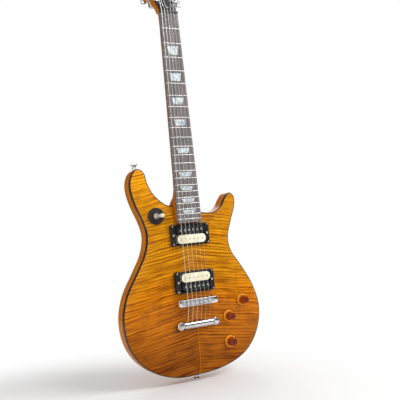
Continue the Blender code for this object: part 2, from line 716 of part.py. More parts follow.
def maple_top(tools):
    """Model the carved cap: flat in the middle, falling ever faster towards its rim."""
    form = bmesh.new()
    rim_verts = [form.verts.new((x, 0.0, z)) for x, z in CAP_OUTLINE]
    face = form.faces.new(rim_verts)
    bmesh.ops.inset_region(form, faces=[face], thickness=CARVE_RING, use_even_offset=True, use_boundary=True)
    across = [vert.co.x for vert in rim_verts]
    along = [vert.co.z for vert in rim_verts]
    for normal, low, high in (((1, 0, 0), min(across), max(across)), ((0, 0, 1), min(along), max(along))):
        lines = math.ceil((high - low) / CARVE_GRID)
        for line in range(1, lines):
            offset = low + (high - low) * line / lines
            inner = [item for item in form.faces if all(len(edge.link_faces) == 2 for edge in item.edges)]
            parts = inner + list({edge for item in inner for edge in item.edges})
            parts += list({vert for item in inner for vert in item.verts})
            bmesh.ops.bisect_plane(form, geom=parts, dist=0.000001,
                                   plane_co=Vector(normal) * offset, plane_no=normal)
    bmesh.ops.remove_doubles(form, verts=form.verts, dist=0.0004)
    for vert in form.verts:
        vert.co.y = top_depth(vert.co.x, vert.co.z)
    bmesh.ops.triangulate(form, faces=form.faces)
    rim = [edge for edge in form.edges if edge.is_boundary]
    wall = bmesh.ops.extrude_edge_only(form, edges=rim)["geom"]
    lower = [item for item in wall if isinstance(item, bmesh.types.BMVert)]
    for vert in lower:
        vert.co.y = CAP_BACK
    bmesh.ops.holes_fill(form, edges=[edge for edge in form.edges if edge.is_boundary], sides=0)
    top = add_piece("maple_top", to_mesh(form, "maple_top"), "maple", BRIDGE_DATUM)
    through = (-OVERCUT, CAP_BACK + OVERCUT)
    holes = rod_mesh("pot_holes", POT_BUSH_RADIUS + GAP, *through, tuple(KNOB_PLACES.values()))
    switch = rod_mesh("switch_hole", SWITCH_BUSH_RADIUS + GAP, *through, (SWITCH_PLACE,))
    cut(top, add_tool("pot_holes", holes, BRIDGE_DATUM), add_tool("switch_hole", switch, BRIDGE_DATUM))
    cut(top, *tools.values())
    return top


def edge_binding(tools):
    """Model the band of binding set into the edge of the cap."""
    inner = inset_outline(BODY_OUTLINE, BINDING_WIDTH)
    mesh = plate_mesh("edge_binding", [BODY_OUTLINE, inner], TOP_RISE, CAP_BACK)
    binding = add_piece("edge_binding", mesh, "black_plastic", BRIDGE_DATUM)
    cut(binding, tools["neck"])
    return binding


def board_section(form, z, width, top, bottom, steps=4):
    """Add a ring of points across the fretboard: a cambered top and a flat underside."""
    ring = []
    for step in range(steps + 1):
        x = width * (step / steps - 0.5)
        ring.append(form.verts.new((x, top + camber(x), z)))
    ring.append(form.verts.new((width / 2, bottom, z)))
    ring.append(form.verts.new((-width / 2, bottom, z)))
    return form.faces.new(ring)


def fretboard():
    """Model the cambered, tapered fretboard with its frets pressed in."""
    form = bmesh.new()
    ends = [board_section(form, z, board_width(z), 0.0, BOARD_THICKNESS)
            for z in (BOARD_END, SCALE_LENGTH - GAP)]
    bmesh.ops.bridge_loops(form, edges=[edge for end in ends for edge in end.edges])
    board = add_piece("fretboard", to_mesh(form, "fretboard"), "rosewood", NECK_DATUM)
    wires = bmesh.new()
    for fret in range(1, FRET_COUNT + 1):
        z = SCALE_LENGTH * 2 ** (-fret / 12)
        width = board_width(z) - 2 * FRET_END_INSET
        crown = [(-FRET_WIDTH / 2, FRET_SINK), (-FRET_WIDTH / 4, -FRET_HEIGHT),
                 (FRET_WIDTH / 4, -FRET_HEIGHT), (FRET_WIDTH / 2, FRET_SINK)]
        rings = []
        for step in range(5):
            x = width * (step / 4 - 0.5)
            rings.append([wires.verts.new((x, y + camber(x), z + along)) for along, y in crown])
        for first, second in zip(rings, rings[1:]):
            for index in range(len(crown)):
                wires.faces.new((first[index - 1], first[index], second[index], second[index - 1]))
        wires.faces.new(rings[0])
        wires.faces.new(rings[-1])
    join(board, add_tool("fret_wires", to_mesh(wires, "fret_wires"), NECK_DATUM))
    return board


def neck():
    """Model the neck from its heel to the tip of the headstock."""
    form = bmesh.new()
    steps = NECK_FACETS
    rings = []
    for z, front, depth, roundness in NECK_STATIONS:
        half = board_width(min(z, SCALE_LENGTH)) / 2
        ring = []
        for step in range(steps + 1):
            angle = math.pi * step / steps
            side = math.copysign(abs(math.cos(angle)) ** roundness, math.cos(angle))
            side = 0.0 if step * 2 == steps else side
            sink = 0.0 if step in (0, steps) else math.sin(angle) ** roundness
            ring.append(form.verts.new((half * side, front + depth * sink, z)))
        rings.append(ring)
    count = steps + 1
    for first, second in zip(rings, rings[1:]):
        for index in range(count):
            form.faces.new((first[index - 1], first[index], second[index], second[index - 1]))
    form.faces.new(rings[0])
    form.faces.new(rings[-1])
    bmesh.ops.triangulate(form, faces=form.faces)
    shaft = add_piece("neck", to_mesh(form, "neck"), "mahogany", NECK_DATUM)
    head = plate_mesh("headstock_blank", [HEADSTOCK_OUTLINE], 0.0, HEADSTOCK_THICKNESS)
    join(shaft, add_tool("headstock_blank", head, HEADSTOCK_DATUM))
    channel = box_mesh("rod_channel", (-ROD_WIDTH / 2 - GAP, NECK_FRONT - OVERCUT, ROD_START - GAP),
                       (ROD_WIDTH / 2 + GAP, NECK_FRONT + ROD_DEPTH + 2 * GAP, ROD_END + 2 * OVERCUT))
    bores = rod_mesh("bush_bores", BUSH_RADIUS + GAP, -2 * OVERCUT, HEADSTOCK_THICKNESS + OVERCUT,
                     tuple(post_places()), steps=SMALL_STEPS)
    cut(shaft, add_tool("rod_channel", channel, NECK_DATUM), add_tool("bush_bores", bores, HEADSTOCK_DATUM))
    return shaft


def post_places():
    """Return the (x, z) place of each tuner post on the headstock, lowest string first."""
    places = []
    for side in (-1, 1):
        order = range(POSTS_PER_SIDE) if side < 0 else reversed(range(POSTS_PER_SIDE))
        for row in order:
            places.append((side * (POST_FIRST_X + POST_SPREAD * row), POST_FIRST_Z + POST_SPACING * row))
    return places


def headstock_trim():
    """Model the black facing, the nut, the truss rod and its cover."""
    mesh = plate_mesh("headstock_facing", [HEADSTOCK_OUTLINE], -FACING_FRONT, -GAP)
    facing = add_piece("headstock_facing", mesh, "black_plastic", HEADSTOCK_DATUM)
    bores = rod_mesh("facing_bores", BUSH_RADIUS + GAP, -2 * OVERCUT, OVERCUT, tuple(post_places()))
    pocket = box_mesh("facing_pocket", (-ROD_WIDTH / 2 - GAP, -2 * OVERCUT, -OVERCUT),
                      (ROD_WIDTH / 2 + GAP, OVERCUT, ROD_NUT_REACH + ROD_POCKET_ROOM))
    cut(facing, add_tool("facing_bores", bores, HEADSTOCK_DATUM),
        add_tool("facing_pocket", pocket, HEADSTOCK_DATUM))

    outline = smooth_outline(mirrored_knots(ROD_COVER_KNOTS), 3)
    front = -FACING_FRONT - GAP - COVER_THICKNESS
    mesh = plate_mesh("truss_rod_cover", [outline], front, -FACING_FRONT - GAP)
    add_piece("truss_rod_cover", mesh, "black_plastic", HEADSTOCK_DATUM)

    shaft_end = ROD_END - ROD_NUT_LENGTH + OVERCUT
    rod = add_piece("truss_rod", box_mesh("truss_rod", (-ROD_WIDTH / 2, NECK_FRONT + GAP, ROD_START),
                                          (ROD_WIDTH / 2, NECK_FRONT + GAP + ROD_DEPTH, shaft_end),
                                          0.001, 1), "steel", NECK_DATUM)
    join(rod, add_tool("rod_nut", rod_mesh(
        "rod_nut", ROD_WIDTH / 2, ROD_END - ROD_NUT_LENGTH, ROD_END,
        ((0.0, NECK_FRONT + GAP + ROD_DEPTH - ROD_WIDTH / 2),), 6, "Z"), NECK_DATUM))

    form = bmesh.new()
    ends = [board_section(form, z, NUT_WIDTH, -NUT_CROWN, BOARD_THICKNESS)
            for z in (SCALE_LENGTH, NUT_BACK - GAP)]
    bmesh.ops.bridge_loops(form, edges=[edge for end in ends for edge in end.edges])
    nut = add_piece("nut", to_mesh(form, "nut"), "black_plastic", NECK_DATUM)
    slots = bmesh.new()
    for index, diameter in enumerate(STRING_DIAMETERS):
        x, y = nut_crossing(index)
        half = diameter / 2 + GAP
        place = Matrix.Translation((x, y - 0.002 + half / 2, (SCALE_LENGTH + NUT_BACK) / 2))
        size = Matrix.Diagonal((2 * half, 0.004 + half, NUT_LENGTH + 0.004, 1.0))
        bmesh.ops.create_cube(slots, size=1.0, matrix=place @ size)
    cut(nut, add_tool("nut_slots", to_mesh(slots, "nut_slots"), NECK_DATUM))


def nut_crossing(index):
    """Return where a string's middle crosses the nut, in the neck's frame."""
    x = (index - (STRING_COUNT - 1) / 2) * NUT_STRING_SPACING
    return x, -NUT_STRING_HEIGHT + camber(x) - STRING_DIAMETERS[index] / 2


def string_height(z):
    """Return how high the strings run above the flat of the top at a distance from the bridge line."""
    over_nut = NECK_MATRIX @ Vector((0.0, -NUT_STRING_HEIGHT, SCALE_LENGTH))
    return BRIDGE_STRING_HEIGHT - (BRIDGE_STRING_HEIGHT + over_nut.y) * z / over_nut.z


def bridge_crossing(index):
    """Return where a string's middle crosses the bridge line."""
    x = (index - (STRING_COUNT - 1) / 2) * BRIDGE_STRING_SPACING
    return x, -BRIDGE_STRING_HEIGHT + camber(x) - STRING_DIAMETERS[index] / 2


def covers():
    """Model the plates that close the cavities on the back."""
    knobs = list(KNOB_PLACES.values())
    rows = (("control_cover", around_places(knobs, CAVITY_MARGIN + COVER_MARGIN - GAP)),
            ("switch_cover", circle(SWITCH_PLACE, SWITCH_CAVITY_RADIUS + COVER_MARGIN - GAP)))
    for name, outline in rows:
        mesh = plate_mesh(name, [outline], BACK_FACE - COVER_PLATE, BACK_FACE)
        add_piece(name, mesh, "black_plastic", BRIDGE_DATUM)


def output_jack():
    """Model the jack: a round plate let into the side and the barrel behind it."""
    face = jack_seat_x() + GAP + JACK_PLATE_THICKNESS
    bore_end = -JACK_LENGTH + JACK_WALL
    profile = [(0.0, bore_end), (JACK_BORE_RADIUS, bore_end), (JACK_BORE_RADIUS, JACK_NUT_RISE),
               (JACK_NUT_RADIUS, JACK_NUT_RISE), (JACK_NUT_RADIUS, 0.0), (JACK_PLATE_RADIUS - 0.0006, 0.0),
               (JACK_PLATE_RADIUS, -0.0006), (JACK_PLATE_RADIUS, -JACK_PLATE_THICKNESS),
               (JACK_BARREL_RADIUS, -JACK_PLATE_THICKNESS), (JACK_BARREL_RADIUS, -JACK_LENGTH),
               (0.0, -JACK_LENGTH)]
    return turned_piece("output_jack", profile, "nickel", BRIDGE_DATUM, (face, MIDDLE_OF_RIM, JACK_Z),
                        (0.0, math.pi / 2, 0.0), 16)


def strap_buttons():
    """Model the two strap buttons with the screws that hold them."""
    profile = [(0.0, 0.0), (BUTTON_END_RADIUS - 0.0012, 0.0), (BUTTON_END_RADIUS, -0.0010),
               (BUTTON_END_RADIUS, -0.0024), (BUTTON_NECK_RADIUS + 0.0006, -0.0046),
               (BUTTON_NECK_RADIUS, -0.0070), (BUTTON_BASE_RADIUS, -STRAP_BUTTON_LENGTH + 0.0014),
               (BUTTON_BASE_RADIUS, -STRAP_BUTTON_LENGTH), (STRAP_SCREW_RADIUS, -STRAP_BUTTON_LENGTH),
               (STRAP_SCREW_RADIUS, -STRAP_BUTTON_LENGTH - STRAP_SCREW_LENGTH),
               (0.0, -STRAP_BUTTON_LENGTH - STRAP_SCREW_LENGTH)]
    turned_piece("lower_strap_button", profile, "chrome", BRIDGE_DATUM,
                 (0.0, MIDDLE_OF_RIM, -BRIDGE_LINE_Z), (math.pi, 0.0, 0.0), SMALL_STEPS)
    turned_piece("upper_strap_button", profile, "chrome", BRIDGE_DATUM,
                 (HORN_TIP[0], MIDDLE_OF_RIM, HORN_TIP[1] + GAP + STRAP_BUTTON_LENGTH),
                 (0.0, 0.0, 0.0), SMALL_STEPS)


def pickup_ring(name, z, thickness):
    """Model one of the frames that the pickups hang in."""
    half_x, half_z = RING_LENGTH / 2, RING_HEIGHT / 2
    face = -GAP - thickness
    mesh = box_mesh(name, (-half_x, face, z - half_z), (half_x, -GAP, z + half_z))
    ring = add_piece(name, round_corners(mesh, RING_CORNER), "black_plastic", BRIDGE_DATUM)
    form = bmesh.new()
    form.from_mesh(ring.data)
    front = [edge for edge in form.edges if all(vert.co.y < face + GAP for vert in edge.verts)]
    bmesh.ops.bevel(form, geom=front, offset=RING_EDGE, segments=1, profile=0.5, affect="EDGES")
    form.to_mesh(ring.data)
    form.free()
    half_x, half_z = RING_OPENING_LENGTH / 2, RING_OPENING_HEIGHT / 2
    opening = box_mesh(f"{name}_opening", (-half_x, face - OVERCUT, z - half_z),
                       (half_x, OVERCUT, z + half_z))
    cut(ring, add_tool(f"{name}_opening", opening, BRIDGE_DATUM))
    return ring


def round_corners(mesh, radius, segments=2):
    """Round the four edges of a block that run from front to back."""
    form = bmesh.new()
    form.from_mesh(mesh)
    uprights = [edge for edge in form.edges if abs(edge.verts[0].co.y - edge.verts[1].co.y) > GAP]
    bmesh.ops.bevel(form, geom=uprights, offset=radius, segments=segments, profile=0.5, affect="EDGES")
    form.to_mesh(mesh)
    form.free()
    return mesh


def pickup(label, z, top, screw_side, spacing):
    """Model one pickup: a black screw coil that carries the baseplate, and a cream slug coil."""
    centre = datum(f"{label}_pickup_line", (0.0, -top, z), 0.0, BRIDGE_DATUM)
    half_x, half_z = BOBBIN_LENGTH / 2, BOBBIN_HEIGHT / 2
    poles = [(index - (STRING_COUNT - 1) / 2) * spacing for index in range(STRING_COUNT)]
    rows = (("screw", screw_side, "black_plastic"), ("slug", -screw_side, "cream_plastic"))
    for kind, side, finish in rows:
        name = f"{label}_pickup_{kind}_coil"
        middle = side * (half_z + GAP / 2)
        flange = round_corners(box_mesh(name, (-half_x, 0.0, middle - half_z),
                                        (half_x, FLANGE_THICKNESS, middle + half_z)),
                               BOBBIN_CORNER, BOBBIN_FACETS)
        coil = add_piece(name, flange, finish, centre)
        winding = round_corners(box_mesh(
            f"{name}_winding", (-half_x + COIL_INSET, FLANGE_THICKNESS / 2, middle - half_z + COIL_INSET),
            (half_x - COIL_INSET, BOBBIN_DEPTH, middle + half_z - COIL_INSET)),
            BOBBIN_CORNER - COIL_INSET, BOBBIN_FACETS)
        rods = rod_mesh(f"{name}_poles", POLE_RADIUS, -POLE_RISE, FLANGE_THICKNESS / 2,
                        tuple((x, middle) for x in poles), TINY_STEPS)
        join(coil, add_tool(f"{name}_winding", winding, centre), add_tool(f"{name}_poles", rods, centre))
        if kind == "screw":
            join(coil, *baseplate(name, middle, side, centre))
    return centre


def baseplate(name, middle, side, centre):
    """Make the plate under both coils, the spacer that it is held by, and its two bent legs."""
    half_x, half_z = BOBBIN_LENGTH / 2, BOBBIN_HEIGHT + GAP / 2
    front, back = BOBBIN_DEPTH + SPACER_DEPTH, BOBBIN_DEPTH + SPACER_DEPTH + BASEPLATE_THICKNESS
    edge = side * (GAP / 2 + COIL_INSET * 2)
    far = side * (half_z - COIL_INSET * 2)
    spacer = box_mesh(f"{name}_spacer", (-half_x * 0.9, BOBBIN_DEPTH - 0.001, min(edge, far)),
                      (half_x * 0.9, front + BASEPLATE_THICKNESS / 2, max(edge, far)))
    plate = box_mesh(f"{name}_plate", (-half_x, front, -half_z), (half_x, back, half_z))
    foot = back + LEG_DROP
    reach, knee = PICKUP_LEG_LENGTH / 2, half_x - 2 * BASEPLATE_THICKNESS
    bend = knee + BASEPLATE_THICKNESS
    toe, root = -foot + BASEPLATE_THICKNESS, -back + BASEPLATE_THICKNESS / 2
    outline = [(-reach, -foot), (-knee, -foot), (-knee, -back), (knee, -back), (knee, -foot), (reach, -foot),
               (reach, toe), (bend, toe), (bend, root), (-bend, root), (-bend, toe), (-reach, toe)]
    legs = plate_mesh(f"{name}_legs", [outline], -LEG_WIDTH / 2, LEG_WIDTH / 2)
    legs.transform(Matrix.Rotation(math.pi / 2, 4, "X"))
    return (add_tool(f"{name}_spacer", spacer, centre), add_tool(f"{name}_plate", plate, centre),
            add_tool(f"{name}_legs", legs, centre))


def bridge():
    """Model the bridge bar, its six saddles and the two posts with their height wheels."""
    half_x, half_z = BRIDGE_LENGTH / 2, BRIDGE_DEPTH / 2
    line = datum("bridge_bar_line", (0.0, 0.0, 0.0), 0.0, BRIDGE_DATUM)
    bar_mesh = round_corners(box_mesh("bridge_body", (-half_x, -BRIDGE_TOP, -half_z),
                                      (half_x, -BRIDGE_BOTTOM, half_z)), BRIDGE_CORNER)
    bar = add_piece("bridge_body", bar_mesh, "chrome", line)
    channel_half = (STRING_COUNT - 1) / 2 * BRIDGE_STRING_SPACING + SADDLE_WIDTH / 2 + 2 * GAP
    channel = box_mesh("saddle_channel", (-channel_half, -BRIDGE_TOP - OVERCUT, -CHANNEL_DEPTH / 2),
                       (channel_half, -CHANNEL_FLOOR, CHANNEL_DEPTH / 2))
    half_span = POST_SPAN / 2
    holes = rod_mesh("bridge_holes", STUD_RADIUS + GAP, -BRIDGE_TOP - OVERCUT, -BRIDGE_BOTTOM + OVERCUT,
                     ((-half_span, 0.0), (half_span, 0.0)))
    cut(bar, add_tool("saddle_channel", channel, line), add_tool("bridge_holes", holes, line))
    for index, label in enumerate(STRING_NAMES):
        saddle(index, f"{label}_saddle", line)
    profile = [(0.0, BRIDGE_TOP + STUD_PROUD), (STUD_RADIUS - 0.0004, BRIDGE_TOP + STUD_PROUD),
               (STUD_RADIUS, BRIDGE_TOP + STUD_PROUD - 0.0004), (STUD_RADIUS, WHEEL_TOP),
               (WHEEL_RADIUS - 0.0004, WHEEL_TOP), (WHEEL_RADIUS, WHEEL_TOP - 0.0004),
               (WHEEL_RADIUS, WHEEL_TOP - WHEEL_THICKNESS + 0.0004),
               (WHEEL_RADIUS - 0.0004, WHEEL_TOP - WHEEL_THICKNESS),
               (STUD_RADIUS, WHEEL_TOP - WHEEL_THICKNESS), (STUD_RADIUS, -STUD_SINK), (0.0, -STUD_SINK)]
    for label, side in (("bass", -1), ("treble", 1)):
        turned_piece(f"{label}_bridge_post", profile, "chrome", line, (side * half_span, 0.0, 0.0),
                     steps=SMALL_STEPS)


def saddle(index, name, line):
    """Model one saddle: a block with sloping shoulders and a groove under its string."""
    x, y = bridge_crossing(index)
    half_x, half_z = SADDLE_WIDTH / 2, SADDLE_LENGTH / 2
    middle = SADDLE_SETBACKS[index]
    mesh = box_mesh(name, (-half_x, y, middle - half_z), (half_x, -CHANNEL_FLOOR - GAP, middle + half_z))
    form = bmesh.new()
    form.from_mesh(mesh)
    shoulders = [edge for edge in form.edges if all(vert.co.y < y + GAP for vert in edge.verts)
                 and abs(edge.verts[0].co.x - edge.verts[1].co.x) > GAP]
    bmesh.ops.bevel(form, geom=shoulders, offset=SADDLE_SHOULDER, segments=1, profile=0.5, affect="EDGES")
    form.to_mesh(mesh)
    form.free()
    block = add_piece(name, mesh, "nickel", line, (x, 0.0, 0.0))
    groove = rod_mesh(f"{name}_groove", STRING_DIAMETERS[index] / 2 + GAP, middle - half_z - OVERCUT,
                      middle + half_z + OVERCUT, ((0.0, y),), TINY_STEPS, "Z")
    cut(block, add_tool(f"{name}_groove", groove, line, (x, 0.0, 0.0)))


def stop_tailpiece():
    """Model the stop tailpiece: a half round bar with two ears on their anchor studs."""
    half_z = TAILPIECE_DEPTH / 2
    shoulder = TAILPIECE_BOTTOM + 0.35 * (TAILPIECE_TOP - TAILPIECE_BOTTOM)
    outline = [(-TAILPIECE_BOTTOM, half_z - 0.0008)]
    for step in range(BAR_FACETS + 1):
        angle = math.pi * step / BAR_FACETS
        outline.append((-shoulder - (TAILPIECE_TOP - shoulder) * math.sin(angle), half_z * math.cos(angle)))
    outline.append((-TAILPIECE_BOTTOM, -half_z + 0.0008))
    mesh = plate_mesh("stop_tailpiece", [outline], -TAILPIECE_BAR / 2, TAILPIECE_BAR / 2)
    mesh.transform(Matrix.Rotation(math.pi / 2, 4, "Z"))
    bar = add_piece("stop_tailpiece", mesh, "chrome", BRIDGE_DATUM, (0.0, 0.0, TAILPIECE_Z))
    profile = [(0.0, TAILPIECE_TOP), (ANCHOR_HEAD_RADIUS - 0.0008, TAILPIECE_TOP),
               (ANCHOR_HEAD_RADIUS, TAILPIECE_TOP - 0.0008), (ANCHOR_HEAD_RADIUS, EAR_TOP),
               (EAR_RADIUS - 0.0008, EAR_TOP), (EAR_RADIUS, EAR_TOP - 0.0008),
               (EAR_RADIUS, TAILPIECE_BOTTOM + 0.0004), (ANCHOR_RADIUS, TAILPIECE_BOTTOM + 0.0004),
               (ANCHOR_RADIUS, -ANCHOR_SINK), (0.0, -ANCHOR_SINK)]
    for label, side in (("bass", -1), ("treble", 1)):
        join(bar, turned_tool(f"{label}_anchor", profile, BRIDGE_DATUM,
                              (side * TAILPIECE_SPAN / 2, 0.0, TAILPIECE_Z)))
    places = tuple((bridge_crossing(index)[0], -TAIL_BORE_HEIGHT) for index in range(STRING_COUNT))
    bores = rod_mesh("string_bores", STRING_BORE_RADIUS, TAILPIECE_Z - half_z - OVERCUT,
                     TAILPIECE_Z + half_z + OVERCUT, places, TINY_STEPS, "Z")
    cut(bar, add_tool("string_bores", bores, BRIDGE_DATUM))


def knobs_and_wiring():
    """Model the three knobs with their shafts and the soldered harness of pots below them."""
    pot_front = CAP_BACK + GAP
    shaft_end = pot_front + POT_DEPTH - POT_WALL - GAP
    lead_y = pot_front + POT_DEPTH
    places = list(KNOB_PLACES.values())
    route = bpy.data.curves.new("wiring_harness", "CURVE")
    route.dimensions = "3D"
    route.bevel_depth = LEAD_RADIUS
    route.bevel_resolution = 1
    route.use_fill_caps = True
    spline = route.splines.new("POLY")
    steps = LEAD_POINTS
    points = []
    for first, second in zip(places, places[1:]):
        for step in range(steps):
            share = step / steps
            bow = LEAD_SLACK * math.sin(math.pi * share)
            points.append((first[0] + (second[0] - first[0]) * share + bow, lead_y,
                           first[1] + (second[1] - first[1]) * share))
    points.append((places[-1][0], lead_y, places[-1][1]))
    spline.points.add(len(points) - 1)
    for point, co in zip(spline.points, points):
        point.co = (*co, 1.0)
    harness = add_piece("wiring_harness", curve_to_mesh("wiring_harness", route, Matrix.Identity(4)), "steel",
                        BRIDGE_DATUM)
    for name, (x, z) in KNOB_PLACES.items():
        surface = top_depth(x, z)
        base = surface - KNOB_LIFT
        profile = [(0.0, -surface - GAP), (POT_BUSH_RADIUS, -surface - GAP), (POT_BUSH_RADIUS, -pot_front),
                   (POT_RADIUS, -pot_front), (POT_RADIUS, -pot_front - POT_DEPTH),
                   (0.0, -pot_front - POT_DEPTH)]
        join(harness, turned_tool(f"{name}_pot", profile, BRIDGE_DATUM, (x, 0.0, z)))
        bore = rod_mesh(f"{name}_bore", SHAFT_RADIUS + GAP, surface - OVERCUT, shaft_end + GAP, ((x, z),))
        cut(harness, add_tool(f"{name}_bore", bore, BRIDGE_DATUM))
        shaft = shaft_end - base
        skirt = [(share * KNOB_RADIUS, height * KNOB_HEIGHT) for share, height in KNOB_BELL]
        turned_piece(name, skirt + [(SHAFT_RADIUS, 0.0), (SHAFT_RADIUS, -shaft), (0.0, -shaft)],
                     "amber_plastic", BRIDGE_DATUM, (x, base, z))


def toggle_switch():
    """Model the pickup selector: its washer, nut and bush in one, and the lever that it carries."""
    x, z = SWITCH_PLACE
    surface = top_depth(x, z)
    washer_front = GAP + SWITCH_WASHER_THICKNESS - surface
    front = washer_front + SWITCH_NUT_THICKNESS
    pivot = front - SWITCH_PIVOT_DEPTH
    body_front = CAP_BACK + GAP
    profile = [(0.0, front), (SWITCH_NUT_RADIUS - 0.0006, front), (SWITCH_NUT_RADIUS, front - 0.0006),
               (SWITCH_NUT_RADIUS, washer_front), (SWITCH_WASHER_RADIUS - 0.0006, washer_front),
               (SWITCH_WASHER_RADIUS, washer_front - 0.0006),
               (SWITCH_WASHER_RADIUS, washer_front - SWITCH_WASHER_THICKNESS),
               (SWITCH_BUSH_RADIUS, washer_front - SWITCH_WASHER_THICKNESS),
               (SWITCH_BUSH_RADIUS, -body_front - OVERCUT), (0.0, -body_front - OVERCUT)]
    switch = turned_piece("toggle_switch", profile, "black_plastic", BRIDGE_DATUM, (x, 0.0, z))
    half_x, half_z = SWITCH_FRAME_WIDTH / 2, SWITCH_FRAME_HEIGHT / 2
    frame = box_mesh("switch_frame", (x - half_x, body_front, z - half_z),
                     (x + half_x, body_front + SWITCH_FRAME_DEPTH, z + half_z))
    join(switch, add_tool("switch_frame", frame, BRIDGE_DATUM))
    bore = rod_mesh("switch_bore", SWITCH_BORE_RADIUS, -front - OVERCUT, -pivot + SWITCH_BORE_RADIUS,
                    ((x, z),), ROUND_STEPS)
    cut(switch, add_tool("switch_bore", bore, BRIDGE_DATUM))
    ball = [(LEVER_BALL * math.cos(angle), LEVER_BALL * math.sin(angle))
            for angle in (math.radians(degrees) for degrees in (60, 30, 0, -30, -60))]
    stem_top = LEVER_LENGTH - LEVER_TIP_LENGTH
    lever = [(0.0, LEVER_LENGTH), (LEVER_TIP_RADIUS * 0.62, LEVER_LENGTH - 0.0006),
             (LEVER_TIP_RADIUS * 0.92, LEVER_LENGTH - 0.0022), (LEVER_TIP_RADIUS, LEVER_LENGTH - 0.0045),
             (LEVER_TIP_RADIUS * 0.86, LEVER_LENGTH - 0.0085), (LEVER_TIP_RADIUS * 0.6, stem_top + 0.0004),
             (LEVER_RADIUS, stem_top)] + ball + [(0.0, -LEVER_BALL)]
    turned_piece("toggle_lever", lever, "cream_plastic", BRIDGE_DATUM, (x, -pivot, z),
                 (math.pi / 2, 0.0, SWITCH_THROW), SMALL_STEPS)


def headstock_edge(z):
    """Return the half width of the headstock at a height above the nut."""
    reach = [before_x + (x - before_x) * (z - before) / (height - before)
             for (before_x, before), (x, height) in zip(HEADSTOCK_OUTLINE, HEADSTOCK_OUTLINE[1:])
             if x > 0.01 and min(before, height) <= z < max(before, height)]
    return max(reach)


def tuner(label, x, z):
    """Model one machine head: the housing with its bush, the string post and the key."""
    side = math.copysign(1.0, x)
    line = datum(f"{label}_tuner_line", (x, 0.0, z), 0.0, HEADSTOCK_DATUM)
    back = HEADSTOCK_THICKNESS + GAP
    key_y = back + HOUSING_DEPTH / 2
    edge = headstock_edge(z + WORM_OFFSET) - abs(x)
    half = HOUSING_WIDTH / 2
    middle = WORM_OFFSET * 0.35
    shell = box_mesh(f"{label}_tuner_housing", (-half, back, middle - HOUSING_LENGTH / 2),
                     (half, back + HOUSING_DEPTH, middle + HOUSING_LENGTH / 2), 0.0018, 1)
    housing = add_piece(f"{label}_tuner_housing", shell, "chrome", line)
    nut_back = FACING_FRONT + GAP
    nut_front = nut_back + NUT_PLATE
    bush = [(0.0, nut_front), (BUSH_RADIUS, nut_front), (BUSH_RADIUS, -back - OVERCUT),
            (0.0, -back - OVERCUT)]
    hexagon = [(0.0, nut_front - GAP), (TUNER_NUT_RADIUS, nut_front - GAP), (TUNER_NUT_RADIUS, nut_back),
               (0.0, nut_back)]
    boss_end = edge - BOSS_INSET
    boss = rod_mesh(f"{label}_boss", KEY_SHAFT_RADIUS + BOSS_WALL, side * (half - OVERCUT), side * boss_end,
                    ((key_y, WORM_OFFSET),), TINY_STEPS, "X")
    join(housing, turned_tool(f"{label}_bush", bush, line, (0.0, 0.0, 0.0)),
         turned_tool(f"{label}_nut", hexagon, line, (0.0, 0.0, 0.0), steps=6),
         add_tool(f"{label}_boss", boss, line))
    floor = back + HOUSING_DEPTH - HOUSING_WALL
    bore = rod_mesh(f"{label}_post_bore", POST_RADIUS + GAP, -nut_front - OVERCUT, floor)
    key_start = -half + 2 * HOUSING_WALL
    key_bore = rod_mesh(f"{label}_key_bore", KEY_SHAFT_RADIUS + GAP, side * key_start,
                        side * (boss_end + OVERCUT), ((key_y, WORM_OFFSET),), TINY_STEPS, "X")
    cut(housing, add_tool(f"{label}_post_bore", bore, line), add_tool(f"{label}_key_bore", key_bore, line))

    waist = POST_RADIUS - GAP
    post = [(0.0, POST_HEIGHT), (POST_RADIUS * 0.8, POST_HEIGHT), (POST_RADIUS, POST_HEIGHT - 0.0008),
            (POST_RADIUS, WINDING_TOP + 0.0022), (waist, WINDING_TOP + 0.0012), (waist, nut_front + 0.0012),
            (POST_RADIUS, nut_front + 0.0004), (POST_RADIUS, -floor + GAP), (0.0, -floor + GAP)]
    turned_piece(f"{label}_tuner_post", post, "chrome", line, (0.0, 0.0, 0.0), steps=SMALL_STEPS)

    reach = edge + KEY_REACH
    grip = box_mesh(f"{label}_tuner_key", (0.0, -BUTTON_THICKNESS / 2, -BUTTON_HEIGHT / 2),
                    (BUTTON_LENGTH, BUTTON_THICKNESS / 2, BUTTON_HEIGHT / 2), 0.0034, 2)
    grip.transform(Matrix.Translation((side * reach if side > 0 else -reach - BUTTON_LENGTH, 0.0, 0.0)))
    key = add_piece(f"{label}_tuner_key", grip, "chrome", line, (0.0, key_y, WORM_OFFSET))
    shaft = rod_mesh(f"{label}_shaft", KEY_SHAFT_RADIUS, side * (key_start + GAP),
                     side * (reach + KEY_COLLAR / 2), ((0.0, 0.0),), TINY_STEPS, "X")
    collar = rod_mesh(f"{label}_collar", KEY_SHAFT_RADIUS + KEY_COLLAR, side * (boss_end + GAP),
                      side * (reach + KEY_COLLAR), ((0.0, 0.0),), TINY_STEPS, "X")
    for tool_name, mesh in ((f"{label}_shaft", shaft), (f"{label}_collar", collar)):
        join(key, add_tool(tool_name, mesh, line, (0.0, key_y, WORM_OFFSET)))


